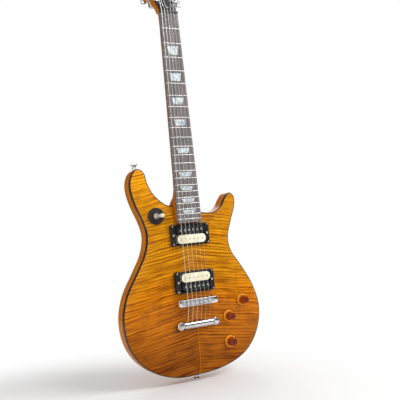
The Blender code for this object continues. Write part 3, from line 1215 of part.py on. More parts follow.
def string_points(index):
    """Return a string's path in the bridge line's frame, from the tailpiece round its tuner post."""
    diameter = STRING_DIAMETERS[index]
    x, y = bridge_crossing(index)
    nut_x, nut_y = nut_crossing(index)
    over_nut = NECK_MATRIX @ Vector((nut_x, nut_y, SCALE_LENGTH + 0.0005))
    past_nut = NECK_MATRIX @ Vector((nut_x, nut_y, NUT_BACK))
    witness = Vector((x, y, 0.0))
    level_end = CHANNEL_DEPTH / 2 + GAP
    behind = witness + (witness - over_nut) * (level_end / SCALE_LENGTH)
    half_z = TAILPIECE_DEPTH / 2
    points = [Vector((x, -TAIL_BORE_HEIGHT, TAILPIECE_Z - half_z - GAP)),
              Vector((x, -TAIL_BORE_HEIGHT, TAILPIECE_Z + half_z)), behind, over_nut, past_nut]

    start = HEADSTOCK_MATRIX.inverted() @ past_nut
    post_x, post_z = post_places()[index]
    radius = POST_RADIUS + GAP + diameter / 2
    to_post = Vector((post_x - start.x, post_z - start.z))
    side = 1.0 if post_x < 0 else -1.0
    bearing = math.atan2(to_post.y, to_post.x) - side * math.asin(radius / to_post.length)
    first = bearing - side * math.pi / 2
    pitch = diameter + WINDING_GAP
    for step in range(WINDING_TURNS * WINDING_POINTS + 1):
        angle = first + side * 2 * math.pi * step / WINDING_POINTS
        height = -WINDING_TOP + pitch * step / WINDING_POINTS
        place = Vector((post_x + radius * math.cos(angle), height, post_z + radius * math.sin(angle)))
        points.append(HEADSTOCK_MATRIX @ place)
    points.append(points[-1] + (points[-1] - points[-2]).normalized() * diameter)
    return points


def least_gap(points, diameter):
    """Return the least distance between the turns of a winding, less the string's own diameter."""
    turns = points[-WINDING_TURNS * WINDING_POINTS:]
    nearest = min((first - second).length for place, first in enumerate(turns)
                  for second in turns[place + WINDING_POINTS // 2:])
    return nearest - diameter


def strings():
    """Model the six strings as unbroken tubes wound round their posts."""
    for index, label in enumerate(STRING_NAMES):
        diameter = STRING_DIAMETERS[index]
        points = string_points(index)
        curve = bpy.data.curves.new(f"{label}_string", "CURVE")
        curve.dimensions = "3D"
        curve.bevel_depth = diameter / 2
        curve.bevel_resolution = 1
        curve.use_fill_caps = True
        spline = curve.splines.new("POLY")
        spline.points.add(len(points) - 1)
        for point, place in zip(spline.points, points):
            point.co = (*place, 1.0)
        add_piece(f"{label}_string", curve, "bronze" if index < 3 else "steel", BRIDGE_DATUM)
        print(f"{label} string: least gap between turns {least_gap(points, diameter) * 1000:.2f} mm")


def build():
    """Build every piece of the guitar."""
    tools = body_cutters()
    mahogany_back(tools)
    maple_top(tools)
    edge_binding(tools)
    fretboard()
    neck()
    headstock_trim()
    covers()
    output_jack()
    strap_buttons()
    pickup_ring("neck_pickup_ring", NECK_PICKUP_Z, NECK_RING_THICKNESS)
    pickup_ring("bridge_pickup_ring", BRIDGE_PICKUP_Z, BRIDGE_RING_THICKNESS)
    pickup("neck", NECK_PICKUP_Z, string_height(NECK_PICKUP_Z) - NECK_PICKUP_DROP, 1, NECK_POLE_SPACING)
    pickup("bridge", BRIDGE_PICKUP_Z, string_height(BRIDGE_PICKUP_Z) - BRIDGE_PICKUP_DROP, -1,
           BRIDGE_POLE_SPACING)
    bridge()
    stop_tailpiece()
    knobs_and_wiring()
    toggle_switch()
    for label, (x, z) in zip(STRING_NAMES, post_places()):
        tuner(label, x, z)
    strings()


build()
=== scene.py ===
import json
import logging
import math
from dataclasses import dataclass
from enum import Enum
from typing import Callable, Optional, Sequence, Union

import bmesh
import bpy
import numpy as np
from mathutils import Matrix, Vector
from mathutils.geometry import interpolate_bezier

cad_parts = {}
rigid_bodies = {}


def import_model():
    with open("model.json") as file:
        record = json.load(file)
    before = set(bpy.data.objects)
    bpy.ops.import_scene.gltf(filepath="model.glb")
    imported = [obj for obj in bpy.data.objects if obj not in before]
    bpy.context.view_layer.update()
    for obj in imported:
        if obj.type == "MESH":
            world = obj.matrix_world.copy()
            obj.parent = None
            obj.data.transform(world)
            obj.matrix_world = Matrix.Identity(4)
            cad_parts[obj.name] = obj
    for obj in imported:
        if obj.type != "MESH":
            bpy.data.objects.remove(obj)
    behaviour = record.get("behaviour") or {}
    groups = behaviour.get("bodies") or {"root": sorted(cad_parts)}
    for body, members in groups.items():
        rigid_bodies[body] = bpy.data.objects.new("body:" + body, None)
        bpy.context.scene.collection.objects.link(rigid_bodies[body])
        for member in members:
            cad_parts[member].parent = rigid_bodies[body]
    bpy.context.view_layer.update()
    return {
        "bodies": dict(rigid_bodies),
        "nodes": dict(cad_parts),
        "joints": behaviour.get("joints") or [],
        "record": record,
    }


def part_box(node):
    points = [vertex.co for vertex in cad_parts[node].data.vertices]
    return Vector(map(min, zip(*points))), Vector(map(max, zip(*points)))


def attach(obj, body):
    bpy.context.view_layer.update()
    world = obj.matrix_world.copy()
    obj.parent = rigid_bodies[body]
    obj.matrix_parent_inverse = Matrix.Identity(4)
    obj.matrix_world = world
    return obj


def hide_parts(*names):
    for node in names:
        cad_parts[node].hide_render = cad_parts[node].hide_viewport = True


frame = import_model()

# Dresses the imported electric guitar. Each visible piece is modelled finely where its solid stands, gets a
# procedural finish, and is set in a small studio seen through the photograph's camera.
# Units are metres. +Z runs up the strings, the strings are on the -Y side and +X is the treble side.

LOG = logging.getLogger("guitar")

Point = tuple[float, float]
Place = tuple[float, float, float]
Colour = tuple[float, float, float]
Socket = bpy.types.NodeSocket
EdgeTest = Callable[[bmesh.types.BMEdge], bool]

# Sizes that several sub-assemblies share, the room between pieces and the reach of cutting tools among them
GAP = 0.0003
NEAR = 0.0001
OVERCUT = 0.0020
NOTCH_FLOOR = 0.955
SCALE_LENGTH = 0.62865
STRING_NAMES = ("low_e", "a", "d", "g", "b", "high_e")
STRING_DIAMETERS = (0.00117, 0.00091, 0.00066, 0.00043, 0.00033, 0.00025)
STRING_COUNT = len(STRING_NAMES)
WOUND_STRINGS = 3
BRIDGE_SPACING = 0.0104
NUT_SPACING = 0.0071
BRIDGE_STRING_HEIGHT = 0.0200
NUT_STRING_HEIGHT = 0.0015
PLAYING_RADIUS = 0.305
NUT_WIDTH = 0.0430
LAST_FRET_WIDTH = 0.0565
FRET_COUNT = 22
NUT_LENGTH = 0.0050
BOARD_THICKNESS = 0.0060
BOARD_RISE = 0.0160
NUT_BACK = SCALE_LENGTH + NUT_LENGTH
NECK_FRONT = BOARD_THICKNESS + GAP
LAST_FRET = SCALE_LENGTH * 2 ** (-FRET_COUNT / 12)
BOARD_END = LAST_FRET - 0.0079
PICKUP_OPENING = (0.0708, 0.0392)
PICKUP_LEGS = 0.0830
POST_SPAN = 0.0740
ANCHOR_SPAN = 0.0820
ANCHOR_LINE = -0.0472
TAILPIECE_DEPTH = 0.0140
TAILPIECE_BORE = 0.0095
TUNER_POST = 0.0030
WINDING_TOP = 0.0095
COVER_MARGIN = 0.0060
TOP_RISE = 0.0060
CAP_BACK = 0.0130
BACK_FRONT = CAP_BACK + GAP
BACK_FACE = 0.0440
SIDE_MIDDLE = (TOP_RISE + BACK_FACE) / 2
HEADSTOCK_THICKNESS = 0.0140
FACING_FRONT = 0.0012 + GAP
KNOB_PLACES = {"neck_volume": (0.1143, -0.0107), "bridge_volume": (0.0769, -0.0413),
    "tone": (0.0748, -0.0963)}
SWITCH_PLACE = (-0.0726, 0.1876)

# The guitar's three frames: the bridge line on the flat of the top, the neck, and the headstock
BRIDGE = Matrix.Translation((0.0, -0.0250, 0.1678))
NECK_IN_BRIDGE = Matrix.Translation((0.0, -BOARD_RISE, 0.0)) @ Matrix.Rotation(math.radians(-1.2), 4, "X")
HEAD_IN_BRIDGE = (NECK_IN_BRIDGE @ Matrix.Translation((0.0, NECK_FRONT, NUT_BACK))
    @ Matrix.Rotation(math.radians(-14.0), 4, "X"))
NECK = BRIDGE @ NECK_IN_BRIDGE
HEAD = BRIDGE @ HEAD_IN_BRIDGE
# Turns a piece that was spun about Z so that its top faces the front or the back
FACE_FRONT = Matrix.Rotation(math.pi / 2, 4, "X")
FACE_BACK = Matrix.Rotation(-math.pi / 2, 4, "X")
ALONG_X = Matrix.Rotation(math.pi / 2, 4, "Y")


class Slot(Enum):
    """The record's material slots."""

    MAHOGANY = "mahogany"
    MAPLE = "maple"
    ROSEWOOD = "rosewood"
    BLACK = "black_plastic"
    CREAM = "cream_plastic"
    AMBER = "amber_plastic"
    CHROME = "chrome"
    NICKEL = "nickel"
    STEEL = "steel"
    WOUND = "wound"


class Drive(Enum):
    """How a screw head is driven."""

    SLOTTED = "slotted"
    CROSS = "cross"


class Union3(Enum):
    """What a Boolean does with its tools."""

    CUT = "DIFFERENCE"
    JOIN = "UNION"


def camber(x: float) -> float:
    """Return how far the playing surface falls away at a distance from its middle line."""
    return x * x / (2 * PLAYING_RADIUS)


def board_width(z: float) -> float:
    """Return the width of the fretboard at a distance from the bridge line."""
    taper = (LAST_FRET_WIDTH - NUT_WIDTH) / (SCALE_LENGTH - LAST_FRET)
    return NUT_WIDTH + taper * (SCALE_LENGTH - z)


def fret_place(fret: float) -> float:
    """Return where a fret crosses the neck, measured from the bridge line."""
    return SCALE_LENGTH * 2 ** (-fret / 12)


def across(index: int, spacing: float) -> float:
    """Return how far a string runs from the middle line where the strings are so far apart."""
    return (index - (STRING_COUNT - 1) / 2) * spacing


def on_circle(radius: float, turn: float, x: float = 0.0, z: float = 0.0) -> Point:
    """Return the point of a circle at a turn from its +X side."""
    return x + radius * math.cos(turn), z + radius * math.sin(turn)


def circle(centre: Point, radius: float, steps: int = 48) -> list[Point]:
    """Return the points of a circle in the (x, z) plane."""
    return [on_circle(radius, 2 * math.pi * step / steps, *centre) for step in range(steps)]


def notched_ring(radius: float, notches: int, shares: Sequence[float]) -> list[Point]:
    """Return the outline of a notched nut, with the four corners of a notch at shares of its pitch."""
    return [on_circle(radius * (1.0 if corner < 2 else NOTCH_FLOOR),
        2 * math.pi * (notch + share) / notches) for notch in range(notches) for corner,
        share in enumerate(shares)]


def rounded_rectangle(half_x: float, half_z: float, radius: float, steps: int = 8,
        z: float = 0.0) -> list[Point]:
    """Return the outline of a rectangle with round corners.

    Args:
        half_x: Half of its width.
        half_z: Half of its height.
        radius: Radius of the corners.
        steps: Points on each corner's arc.
        z: Height of its middle; its middle line stays on x nought.

    Returns:
        The outline.
    """
    return [on_circle(radius, math.pi / 2 * (corner + step / steps), side_x * (half_x - radius),
        side_z * (half_z - radius) + z) for corner, (side_x, side_z) in enumerate(
        ((1, 1), (-1, 1), (-1, -1), (1, -1))) for step in range(steps + 1)]


def arc(start: Vector, end: Vector, leave: Vector, arrive: Vector, steps: int) -> list[Point]:
    """Sample a smooth arc between two places.

    Args:
        start: Its first place.
        end: Its last place.
        leave: The direction in which it leaves.
        arrive: The direction in which it arrives.
        steps: Points on it.

    Returns:
        The points from its first place to the one before its last.
    """
    reach = (end - start).length / 3
    points = interpolate_bezier(start, start + leave.normalized() * reach,
        end - arrive.normalized() * reach, end, steps + 1)
    return [(point.x, point.y) for point in points[:-1]]


def smooth_outline(knots: Sequence[tuple[float, ...]], steps: int) -> list[Point]:
    """Sample a closed outline as smooth arcs through its knots.

    Args:
        knots: Place of each knot, with a third value at a corner, whose arcs leave it straight.
        steps: Points on each arc.

    Returns:
        The points of the outline in order.
    """
    places = [Vector((*knot[:2], 0.0)) for knot in knots]
    corners = [len(knot) > 2 for knot in knots]
    points: list[Point] = []
    for index, start in enumerate(places):
        following = (index + 1) % len(places)
        end = places[following]
        leave = end - (start if corners[index] else places[index - 1])
        arrive = (end if corners[following] else places[(index + 2) % len(places)]) - start
        points += arc(start, end, leave, arrive, 1 if corners[index] and corners[following] else steps)
    return points


def mirrored_knots(half: Sequence[tuple[float, ...]]) -> list[tuple[float, ...]]:
    """Complete a right half of knots with its left half; knots on the middle line stay single."""
    return list(half) + [(-knot[0], *knot[1:]) for knot in reversed(half) if knot[0] > 0.0]


def inset_outline(points: Sequence[Point], distance: float) -> list[Point]:
    """Move every point of a closed outline inwards by an even distance, or outwards by a negative one.

    Args:
        points: The outline.
        distance: How far its points move.

    Returns:
        The moved outline.
    """
    area = sum(before[0] * here[1] - here[0] * before[1] for before,
        here in zip([points[-1], *points], points))
    side = 1.0 if area > 0 else -1.0
    moved = []
    for index, point in enumerate(points):
        here = Vector(point)
        before = (here - Vector(points[index - 1])).normalized()
        after = (Vector(points[(index + 1) % len(points)]) - here).normalized()
        normal = Vector((-before.y - after.y, before.x + after.x)).normalized() * side
        share = max(0.35, normal.dot(Vector((-after.y, after.x)) * side))
        moved.append(tuple(here + normal * distance / share))
    return moved


def centre_of(places: Sequence[Point]) -> Vector:
    """Return the middle of some places."""
    return sum((Vector(place) for place in places), Vector((0.0, 0.0))) / len(places)


def around_places(places: Sequence[Point], radius: float, steps: int = 16) -> list[Point]:
    """Return the outline of a band stretched round discs of one radius at the given places.

    Args:
        places: Middles of the discs.
        radius: Their radius.
        steps: Points on each arc.

    Returns:
        The outline.
    """
    middle = centre_of(places)
    ordered = sorted(places, key=lambda place: math.atan2(place[1] - middle.y, place[0] - middle.x))
    points = []
    for index, place in enumerate(ordered):
        before = Vector(place) - Vector(ordered[index - 1])
        after = Vector(ordered[(index + 1) % len(ordered)]) - Vector(place)
        first = math.atan2(-before.x, before.y)
        sweep = (math.atan2(-after.x, after.y) - first) % (2 * math.pi)
        points += [on_circle(radius, first + sweep * step / steps, *place) for step in range(steps + 1)]
    return points


def softened(profile: Sequence[Point], steps: int = 6) -> list[Point]:
    """Run a smooth curve through the points of a turning profile, from its first to its last.

    Args:
        profile: Points of (radius, height).
        steps: Steps between two of them.

    Returns:
        The points of the curve.
    """
    places = [Vector((radius, height, 0.0)) for radius, height in profile]
    points: list[Point] = []
    for index, (start, end) in enumerate(zip(places, places[1:])):
        before, after = places[max(0, index - 1)], places[min(len(places) - 1, index + 2)]
        points += arc(start, end, end - before, after - start, steps)
    return [(max(0.0, radius), height) for radius, height in points] + [profile[-1]]


def discard(item: bpy.types.Object) -> None:
    """Delete an object with its mesh or curve."""
    data, kind = item.data, item.type
    bpy.data.objects.remove(item, do_unlink=True)
    (bpy.data.meshes if kind == "MESH" else bpy.data.curves).remove(data)


def at_front(y: float) -> EdgeTest:
    """Return a test for the edges at a depth or in front of it."""
    return lambda edge: all(vert.co.y < y + NEAR for vert in edge.verts)


def at_back(y: float) -> EdgeTest:
    """Return a test for the edges at a depth or behind it."""
    return lambda edge: all(vert.co.y > y - NEAR for vert in edge.verts)


def crossing(index: int, spacing: float, height: float) -> Vector:
    """Return where a string's middle crosses the bridge line or the nut."""
    x = across(index, spacing)
    return Vector((x, -height + camber(x) - STRING_DIAMETERS[index] / 2, 0.0))


class Form:
    """A shape being made with bmesh operators, in the frame of the piece that it will be."""

    def __init__(self) -> None:
        """Start with nothing."""
        self.shape = bmesh.new()

    @classmethod
    def turned(cls, profile: Sequence[Point], steps: int = 48) -> "Form":
        """Turn a profile of (radius, height) points once round the Z axis.

        Args:
            profile: The points from the top down; one of radius nought closes the form there.
            steps: Facets round the axis.

        Returns:
            The closed form.
        """
        form = cls()
        verts = [form.shape.verts.new((radius, 0.0, height)) for radius, height in profile]
        edges = [form.shape.edges.new(pair) for pair in zip(verts, verts[1:])]
        bmesh.ops.spin(form.shape, geom=verts + edges, cent=(0.0, 0.0, 0.0), axis=(0.0, 0.0, 1.0),
            dvec=(0.0, 0.0, 0.0), angle=2 * math.pi, steps=steps, use_merge=True, use_duplicate=False)
        bmesh.ops.remove_doubles(form.shape, verts=form.shape.verts, dist=0.0000002)
        return form.outward()

    @classmethod
    def slab(cls, outline: Sequence[Point], front: float, back: float) -> "Form":
        """Extrude a closed outline of (x, z) points between two depths.

        Args:
            outline: The points.
            front: Depth of its front.
            back: Depth of its back.

        Returns:
            The plate.
        """
        form = cls()
        face = form.shape.faces.new([form.shape.verts.new((x, front, z)) for x, z in outline])
        return form.thickened([face], back - front)

    @classmethod
    def band(cls, outer: Sequence[Point], inner: Sequence[Point], front: float, back: float) -> "Form":
        """Extrude the strip between two outlines with as many points as each other.

        Args:
            outer: The outer outline.
            inner: The inner one.
            front: Depth of its front.
            back: Depth of its back.

        Returns:
            The closed strip.
        """
        form = cls()
        for outline in (outer, inner):
            verts = [form.shape.verts.new((x, front, z)) for x, z in outline]
            for index, vert in enumerate(verts):
                form.shape.edges.new((verts[index - 1], vert))
        bmesh.ops.bridge_loops(form.shape, edges=form.shape.edges[:])
        return form.thickened(form.shape.faces[:], back - front)

    @classmethod
    def block(cls, low: Place, high: Place, rounding: float = 0.0, segments: int = 3) -> "Form":
        """Make a box between two corners, with all its edges rounded where asked.

        Args:
            low: Its lowest corner.
            high: Its highest corner.
            rounding: Radius of its edges.
            segments: Facets across an edge.

        Returns:
            The box.
        """
        form = cls()
        size = Vector(high) - Vector(low)
        middle = (Vector(high) + Vector(low)) / 2
        bmesh.ops.create_cube(form.shape, size=1.0, matrix=Matrix.Translation(middle)
            @ Matrix.Diagonal((*size, 1.0)))
        return form.bevelled(rounding, segments) if rounding else form.outward()

    @classmethod
    def rod(cls, radius: float, start: Place, end: Place, steps: int = 24, rounding: float = 0.0) -> "Form":
        """Make a round rod between two places, with its ends rounded where asked.

        Args:
            radius: Its radius.
            start: Middle of one end.
            end: Middle of the other end.
            steps: Facets round it.
            rounding: Radius at its ends.

        Returns:
            The rod.
        """
        form = cls()
        line = Vector(end) - Vector(start)
        turn = Vector((0.0, 0.0, 1.0)).rotation_difference(line).to_matrix().to_4x4()
        middle = Matrix.Translation((Vector(start) + Vector(end)) / 2)
        bmesh.ops.create_cone(form.shape, cap_ends=True, segments=steps, radius1=radius, radius2=radius,
            depth=line.length, matrix=middle @ turn)
        if rounding:
            form.bevelled(rounding, 3, lambda edge: any(len(face.verts) > 4 for face in edge.link_faces))
        return form.outward()

    @classmethod
    def bore(cls, radius: float, x: float, z: float, front: float, back: float) -> "Form":
        """Make a round rod along Y between two depths."""
        return cls.rod(radius, (x, front, z), (x, back, z))

    @classmethod
    def slit(cls, half_x: float, half_y: float, low: float, high: float) -> "Form":
        """Make a box round the Z axis between two heights."""
        return cls.block((-half_x, -half_y, low), (half_x, half_y, high))

    @classmethod
    def loft(cls, rings: Sequence[Sequence[Place]]) -> "Form":
        """Bridge closed rings of points one after another and close both ends.

        Args:
            rings: The rings, with as many points as each other.

        Returns:
            The closed form.
        """
        form = cls()
        loops = []
        for ring in rings:
            verts = [form.shape.verts.new(place) for place in ring]
            loops.append([form.shape.edges.new((verts[index - 1], vert)) for index,
                vert in enumerate(verts)])
        for first, second in zip(loops, loops[1:]):
            bmesh.ops.bridge_loops(form.shape, edges=first + second)
        for loop in (loops[0], loops[-1]):
            bmesh.ops.contextual_create(form.shape, geom=loop)
        return form.outward()

    @classmethod
    def pipe(cls, points: Sequence[Vector], radius: float, sides: int = 10) -> "Form":
        """Make a round tube with closed ends along a chain of points.

        Args:
            points: The places that the middle of the tube runs through.
            radius: The tube's radius.
            sides: Facets round the tube.

        Returns:
            The tube.
        """
        curve = bpy.data.curves.new("route", "CURVE")
        curve.dimensions = "3D"
        curve.bevel_depth = radius
        curve.bevel_resolution = max(0, sides // 2 - 2)
        curve.use_fill_caps = True
        spline = curve.splines.new("POLY")
        spline.points.add(len(points) - 1)
        for point, place in zip(spline.points, points):
            point.co = (*place, 1.0)
        guide = bpy.data.objects.new("route", curve)
        bpy.context.scene.collection.objects.link(guide)
        form = cls.of(guide)
        discard(guide)
        bmesh.ops.remove_doubles(form.shape, verts=form.shape.verts, dist=0.000001)
        return form.outward()

    @classmethod
    def of(cls, source: bpy.types.Object) -> "Form":
        """Return an object's shape with its modifiers worked in.

        Args:
            source: The object.

        Returns:
            The form.
        """
        mesh = bpy.data.meshes.new_from_object(source.evaluated_get(bpy.context.evaluated_depsgraph_get()))
        form = cls()
        form.shape.from_mesh(mesh)
        bpy.data.meshes.remove(mesh)
        return form

    def thickened(self, faces: Sequence[bmesh.types.BMFace], depth: float) -> "Form":
        """Extrude flat faces along Y so that they become a closed plate.

        Args:
            faces: The faces.
            depth: How far they are drawn back.

        Returns:
            This form.
        """
        grown = bmesh.ops.extrude_face_region(self.shape, geom=list(faces))["geom"]
        moved = [item for item in grown if isinstance(item, bmesh.types.BMVert)]
        bmesh.ops.translate(self.shape, verts=moved, vec=(0.0, depth, 0.0))
        open_edges = [edge for edge in self.shape.edges if edge.is_boundary]
        if open_edges:
            bmesh.ops.holes_fill(self.shape, edges=open_edges, sides=0)
        return self.outward()

    def outward(self) -> "Form":
        """Point every face outwards."""
        bmesh.ops.recalc_face_normals(self.shape, faces=self.shape.faces)
        return self

    def bevelled(self, width: float, segments: int = 3, where: Optional[EdgeTest] = None,
            sharper_than: float = math.radians(30)) -> "Form":
        """Round the sharp edges that a test picks.

        Args:
            width: Width of the rounding.
            segments: Facets across it.
            where: The test on an edge; without one, every sharp edge is rounded.
            sharper_than: Edges whose faces turn less than this are left.

        Returns:
            The form itself.
        """
        picked = [edge for edge in self.shape.edges if len(edge.link_faces) == 2
            and edge.calc_face_angle(0.0) > sharper_than and (where is None or where(edge))]
        bmesh.ops.bevel(self.shape, geom=picked, offset=width, offset_type="OFFSET", segments=segments,
            profile=0.5, affect="EDGES", clamp_overlap=True, material=-1)
        return self.outward()

    def placed(self, matrix: Matrix) -> "Form":
        """Move the form by a matrix."""
        bmesh.ops.transform(self.shape, matrix=matrix, verts=self.shape.verts)
        return self

    def bent(self, rule: Callable[[Vector], Vector]) -> "Form":
        """Move every vertex to where a rule puts it.

        Args:
            rule: Gives the new place of an old one.

        Returns:
            This form.
        """
        for vert in self.shape.verts:
            vert.co = rule(vert.co)
        return self

    def copied(self) -> "Form":
        """Return a copy of the form.

        Returns:
            The copy.
        """
        twin = Form()
        twin.shape = self.shape.copy()
        return twin

    def with_parts(self, *others: "Form") -> "Form":
        """Take other forms into this one as they are.

        Args:
            *others: The forms, which are spent.

        Returns:
            This form.
        """
        for other in others:
            mesh = other.to_mesh("part")
            self.shape.from_mesh(mesh)
            bpy.data.meshes.remove(mesh)
        return self

    def repeated(self, places: Sequence[Matrix]) -> "Form":
        """Return one form that holds a copy of this one at each place."""
        return Form().with_parts(*(self.copied().placed(place) for place in places))

    def boolean(self, action: Union3, *tools: "Form") -> "Form":
        """Cut tools out of the form, or join them on.

        Args:
            action: Whether the tools are cut away or joined.
            tools: The forms used; they are spent.

        Returns:
            A new form.
        """
        items = [bpy.data.objects.new("tool", form.to_mesh("tool")) for form in (self, *tools)]
        for item in items:
            bpy.context.scene.collection.objects.link(item)
        for tool in items[1:]:
            step = items[0].modifiers.new("step", "BOOLEAN")
            step.operation = action.value
            step.object = tool
            step.solver = "EXACT"
        result = Form.of(items[0])
        for item in items:
            discard(item)
        return result

    def to_mesh(self, name: str) -> bpy.types.Mesh:
        """Return the form as a mesh and let go of it.

        Args:
            name: The mesh's name.

        Returns:
            The mesh.
        """
        mesh = bpy.data.meshes.new(name)
        self.shape.to_mesh(mesh)
        self.shape.free()
        return mesh


@dataclass(frozen=True)
class Screw:
    """The head of a screw, made facing up the Z axis from its seat."""

    radius: float = 0.0022
    rise: float = 0.0010
    drive: Drive = Drive.CROSS
    slot_width: float = 0.0005
    slot_depth: float = 0.0006
    steps: int = 20

    def head(self) -> Form:
        """Return the domed head with its drive cut in.

        Returns:
            The head.
        """
        dome = [(0.0, self.rise), (self.radius * 0.45, self.rise * 0.97),
            (self.radius * 0.78, self.rise * 0.78), (self.radius * 0.96, self.rise * 0.42),
            (self.radius, 0.0), (self.radius * 0.9, -0.0004), (0.0, -0.0004)]
        head = Form.turned(dome, self.steps)
        reach = self.radius * (1.2 if self.drive is Drive.SLOTTED else 0.62)
        floor, half = self.rise - self.slot_depth, self.slot_width / 2
        bars = [Form.slit(reach, half, floor, self.rise + OVERCUT)]
        if self.drive is Drive.CROSS:
            bars.append(Form.slit(half, reach, floor, self.rise + OVERCUT))
        return head.boolean(Union3.CUT, *bars)

    def heads(self, places: Sequence[Matrix]) -> Form:
        """Return a head at each place, each turned a little further than the last.

        Args:
            places: Where the heads sit, facing up each Z axis.

        Returns:
            All the heads.
        """
        turn = math.radians(37)
        return self.head().repeated([place @ Matrix.Rotation(turn * index, 4, "Z") for index,
            place in enumerate(places)])


def shifted(x: float = 0.0, y: float = 0.0, z: float = 0.0) -> Matrix:
    """Return a shift along the axes."""
    return Matrix.Translation((x, y, z))


def facing(x: float, y: float, z: float, base: Matrix = BRIDGE) -> Matrix:
    """Return the place of something that looks to the front at a point of a frame."""
    return base @ Matrix.Translation((x, y, z)) @ FACE_FRONT


Value = Union[Socket, float, tuple]
Inputs = dict[str, Value]


class Tree:
    """A node tree being wired, with short calls for the nodes that the finishes use."""

    def __init__(self, tree: bpy.types.NodeTree) -> None:
        """Take up a tree."""
        self.tree = tree

    def put(self, socket: Socket, value: Value) -> None:
        """Link a socket to another one or set its value; a colour is given its alpha.

        Args:
            socket: The socket.
            value: What it gets.
        """
        if isinstance(value, bpy.types.NodeSocket):
            self.tree.links.new(value, socket)
        elif socket.type == "RGBA":
            socket.default_value = (*value, 1.0)
        else:
            socket.default_value = value

    def node(self, kind: str, values: Optional[dict[Union[int, str], Value]] = None,
            **settings: object) -> bpy.types.Node:
        """Add a node.

        Args:
            kind: The node's type name.
            values: What its inputs are set or linked to.
            **settings: Its own properties.

        Returns:
            The node.
        """
        node = self.tree.nodes.new(kind)
        for key, setting in settings.items():
            setattr(node, key, setting)
        for key, value in (values or {}).items():
            self.put(node.inputs[key], value)
        return node

    def math(self, operation: str, *values: Value) -> Socket:
        """Return the result of a Math node."""
        return self.node("ShaderNodeMath", dict(enumerate(values)), operation=operation).outputs[0]

    def plus(self, first: Value, second: Value) -> Socket:
        """Return a sum."""
        return self.math("ADD", first, second)

    def minus(self, first: Value, second: Value) -> Socket:
        """Return a difference."""
        return self.math("SUBTRACT", first, second)

    def times(self, first: Value, second: Value) -> Socket:
        """Return a product."""
        return self.math("MULTIPLY", first, second)

    def line(self, value: Value, slope: Value, base: Value) -> Socket:
        """Return a value times a slope, plus a base."""
        return self.math("MULTIPLY_ADD", value, slope, base)

    def blend(self, share: Value, first: Value, second: Value, kind: str = "MIX") -> Socket:
        """Return one colour mixed with another."""
        node = self.node("ShaderNodeMix", {0: share, 6: first, 7: second}, data_type="RGBA",
            blend_type=kind)
        return node.outputs[2]

    def tinted(self, share: Value, colour: Value, tint: Value) -> Socket:
        """Return a colour multiplied by a tint as far as a share says."""
        return self.blend(share, colour, self.blend(1.0, colour, tint, "MULTIPLY"))

    def spread(self, value: Value, low: float, high: float, start: float = 0.0, end: float = 1.0) -> Socket:
        """Return a value moved smoothly from one range onto another."""
        return self.node("ShaderNodeMapRange", {0: value, 1: low, 2: high, 3: start, 4: end},
            interpolation_type="SMOOTHSTEP").outputs[0]

    def coords(self) -> Socket:
        """Return the coordinates of the piece's own object."""
        return self.node("ShaderNodeTexCoord").outputs["Object"]

    def stretched(self, vector: Value, scale: Place) -> Socket:
        """Return coordinates scaled along each axis."""
        return self.node("ShaderNodeMapping", {"Vector": vector, "Scale": scale}).outputs[0]

    def axes(self, vector: Value) -> tuple[Socket, Socket, Socket]:
        """Return the three parts of a vector."""
        return tuple(self.node("ShaderNodeSeparateXYZ", {0: vector}).outputs)

    def joined(self, x: Value, y: Value, z: Value) -> Socket:
        """Return a vector of three parts."""
        return self.node("ShaderNodeCombineXYZ", {0: x, 1: y, 2: z}).outputs[0]

    def noise(self, vector: Value, scale: Value, detail: float = 2.0, roughness: float = 0.5) -> Socket:
        """Return a cloudy value from nought to one."""
        return self.node("ShaderNodeTexNoise", {"Vector": vector, "Scale": scale, "Detail": detail,
            "Roughness": roughness}).outputs[0]

    def bump(self, height: Value, distance: float, strength: float = 1.0) -> Socket:
        """Return the normal of a surface with a height of its own."""
        return self.node("ShaderNodeBump", {"Height": height, "Distance": distance,
            "Strength": strength}).outputs[0]


@dataclass(frozen=True)
class Mask:
    """One output of a shared effect: a noise, stretched and then spread between two limits."""

    label: str
    stretch: Place
    scale: float
    detail: float
    roughness: float
    low: float
    high: float


@dataclass(frozen=True)
class SharedEffect:
    """An effect that more than one finish uses: a node group with named masks, built once."""

    name: str
    masks: tuple[Mask, ...]

    def group(self) -> bpy.types.NodeTree:
        """Return the group, building it when it is first asked for.

        Returns:
            The node group.
        """
        if self in MADE_GROUPS:
            return MADE_GROUPS[self]
        group = MADE_GROUPS[self] = bpy.data.node_groups.new(self.name, "ShaderNodeTree")
        group.interface.new_socket("Vector", in_out="INPUT", socket_type="NodeSocketVector")
        group.interface.new_socket("Fineness", in_out="INPUT", socket_type="NodeSocketFloat")
        for mask in self.masks:
            group.interface.new_socket(mask.label, in_out="OUTPUT", socket_type="NodeSocketFloat")
        tree = Tree(group)
        taken, given = tree.node("NodeGroupInput").outputs, tree.node("NodeGroupOutput").inputs
        for mask in self.masks:
            cloudy = tree.noise(tree.stretched(taken["Vector"], mask.stretch),
                tree.times(taken["Fineness"], mask.scale), mask.detail, mask.roughness)
            tree.put(given[mask.label], tree.spread(cloudy, mask.low, mask.high))
        return group

    def outputs(self, tree: Tree, vector: Value, fineness: float) -> bpy.types.NodeOutputs:
        """Place the group in a material and return its outputs."""
        return tree.node("ShaderNodeGroup", {"Vector": vector, "Fineness": fineness},
            node_tree=self.group()).outputs


MADE_GROUPS: dict[SharedEffect, bpy.types.NodeTree] = {}
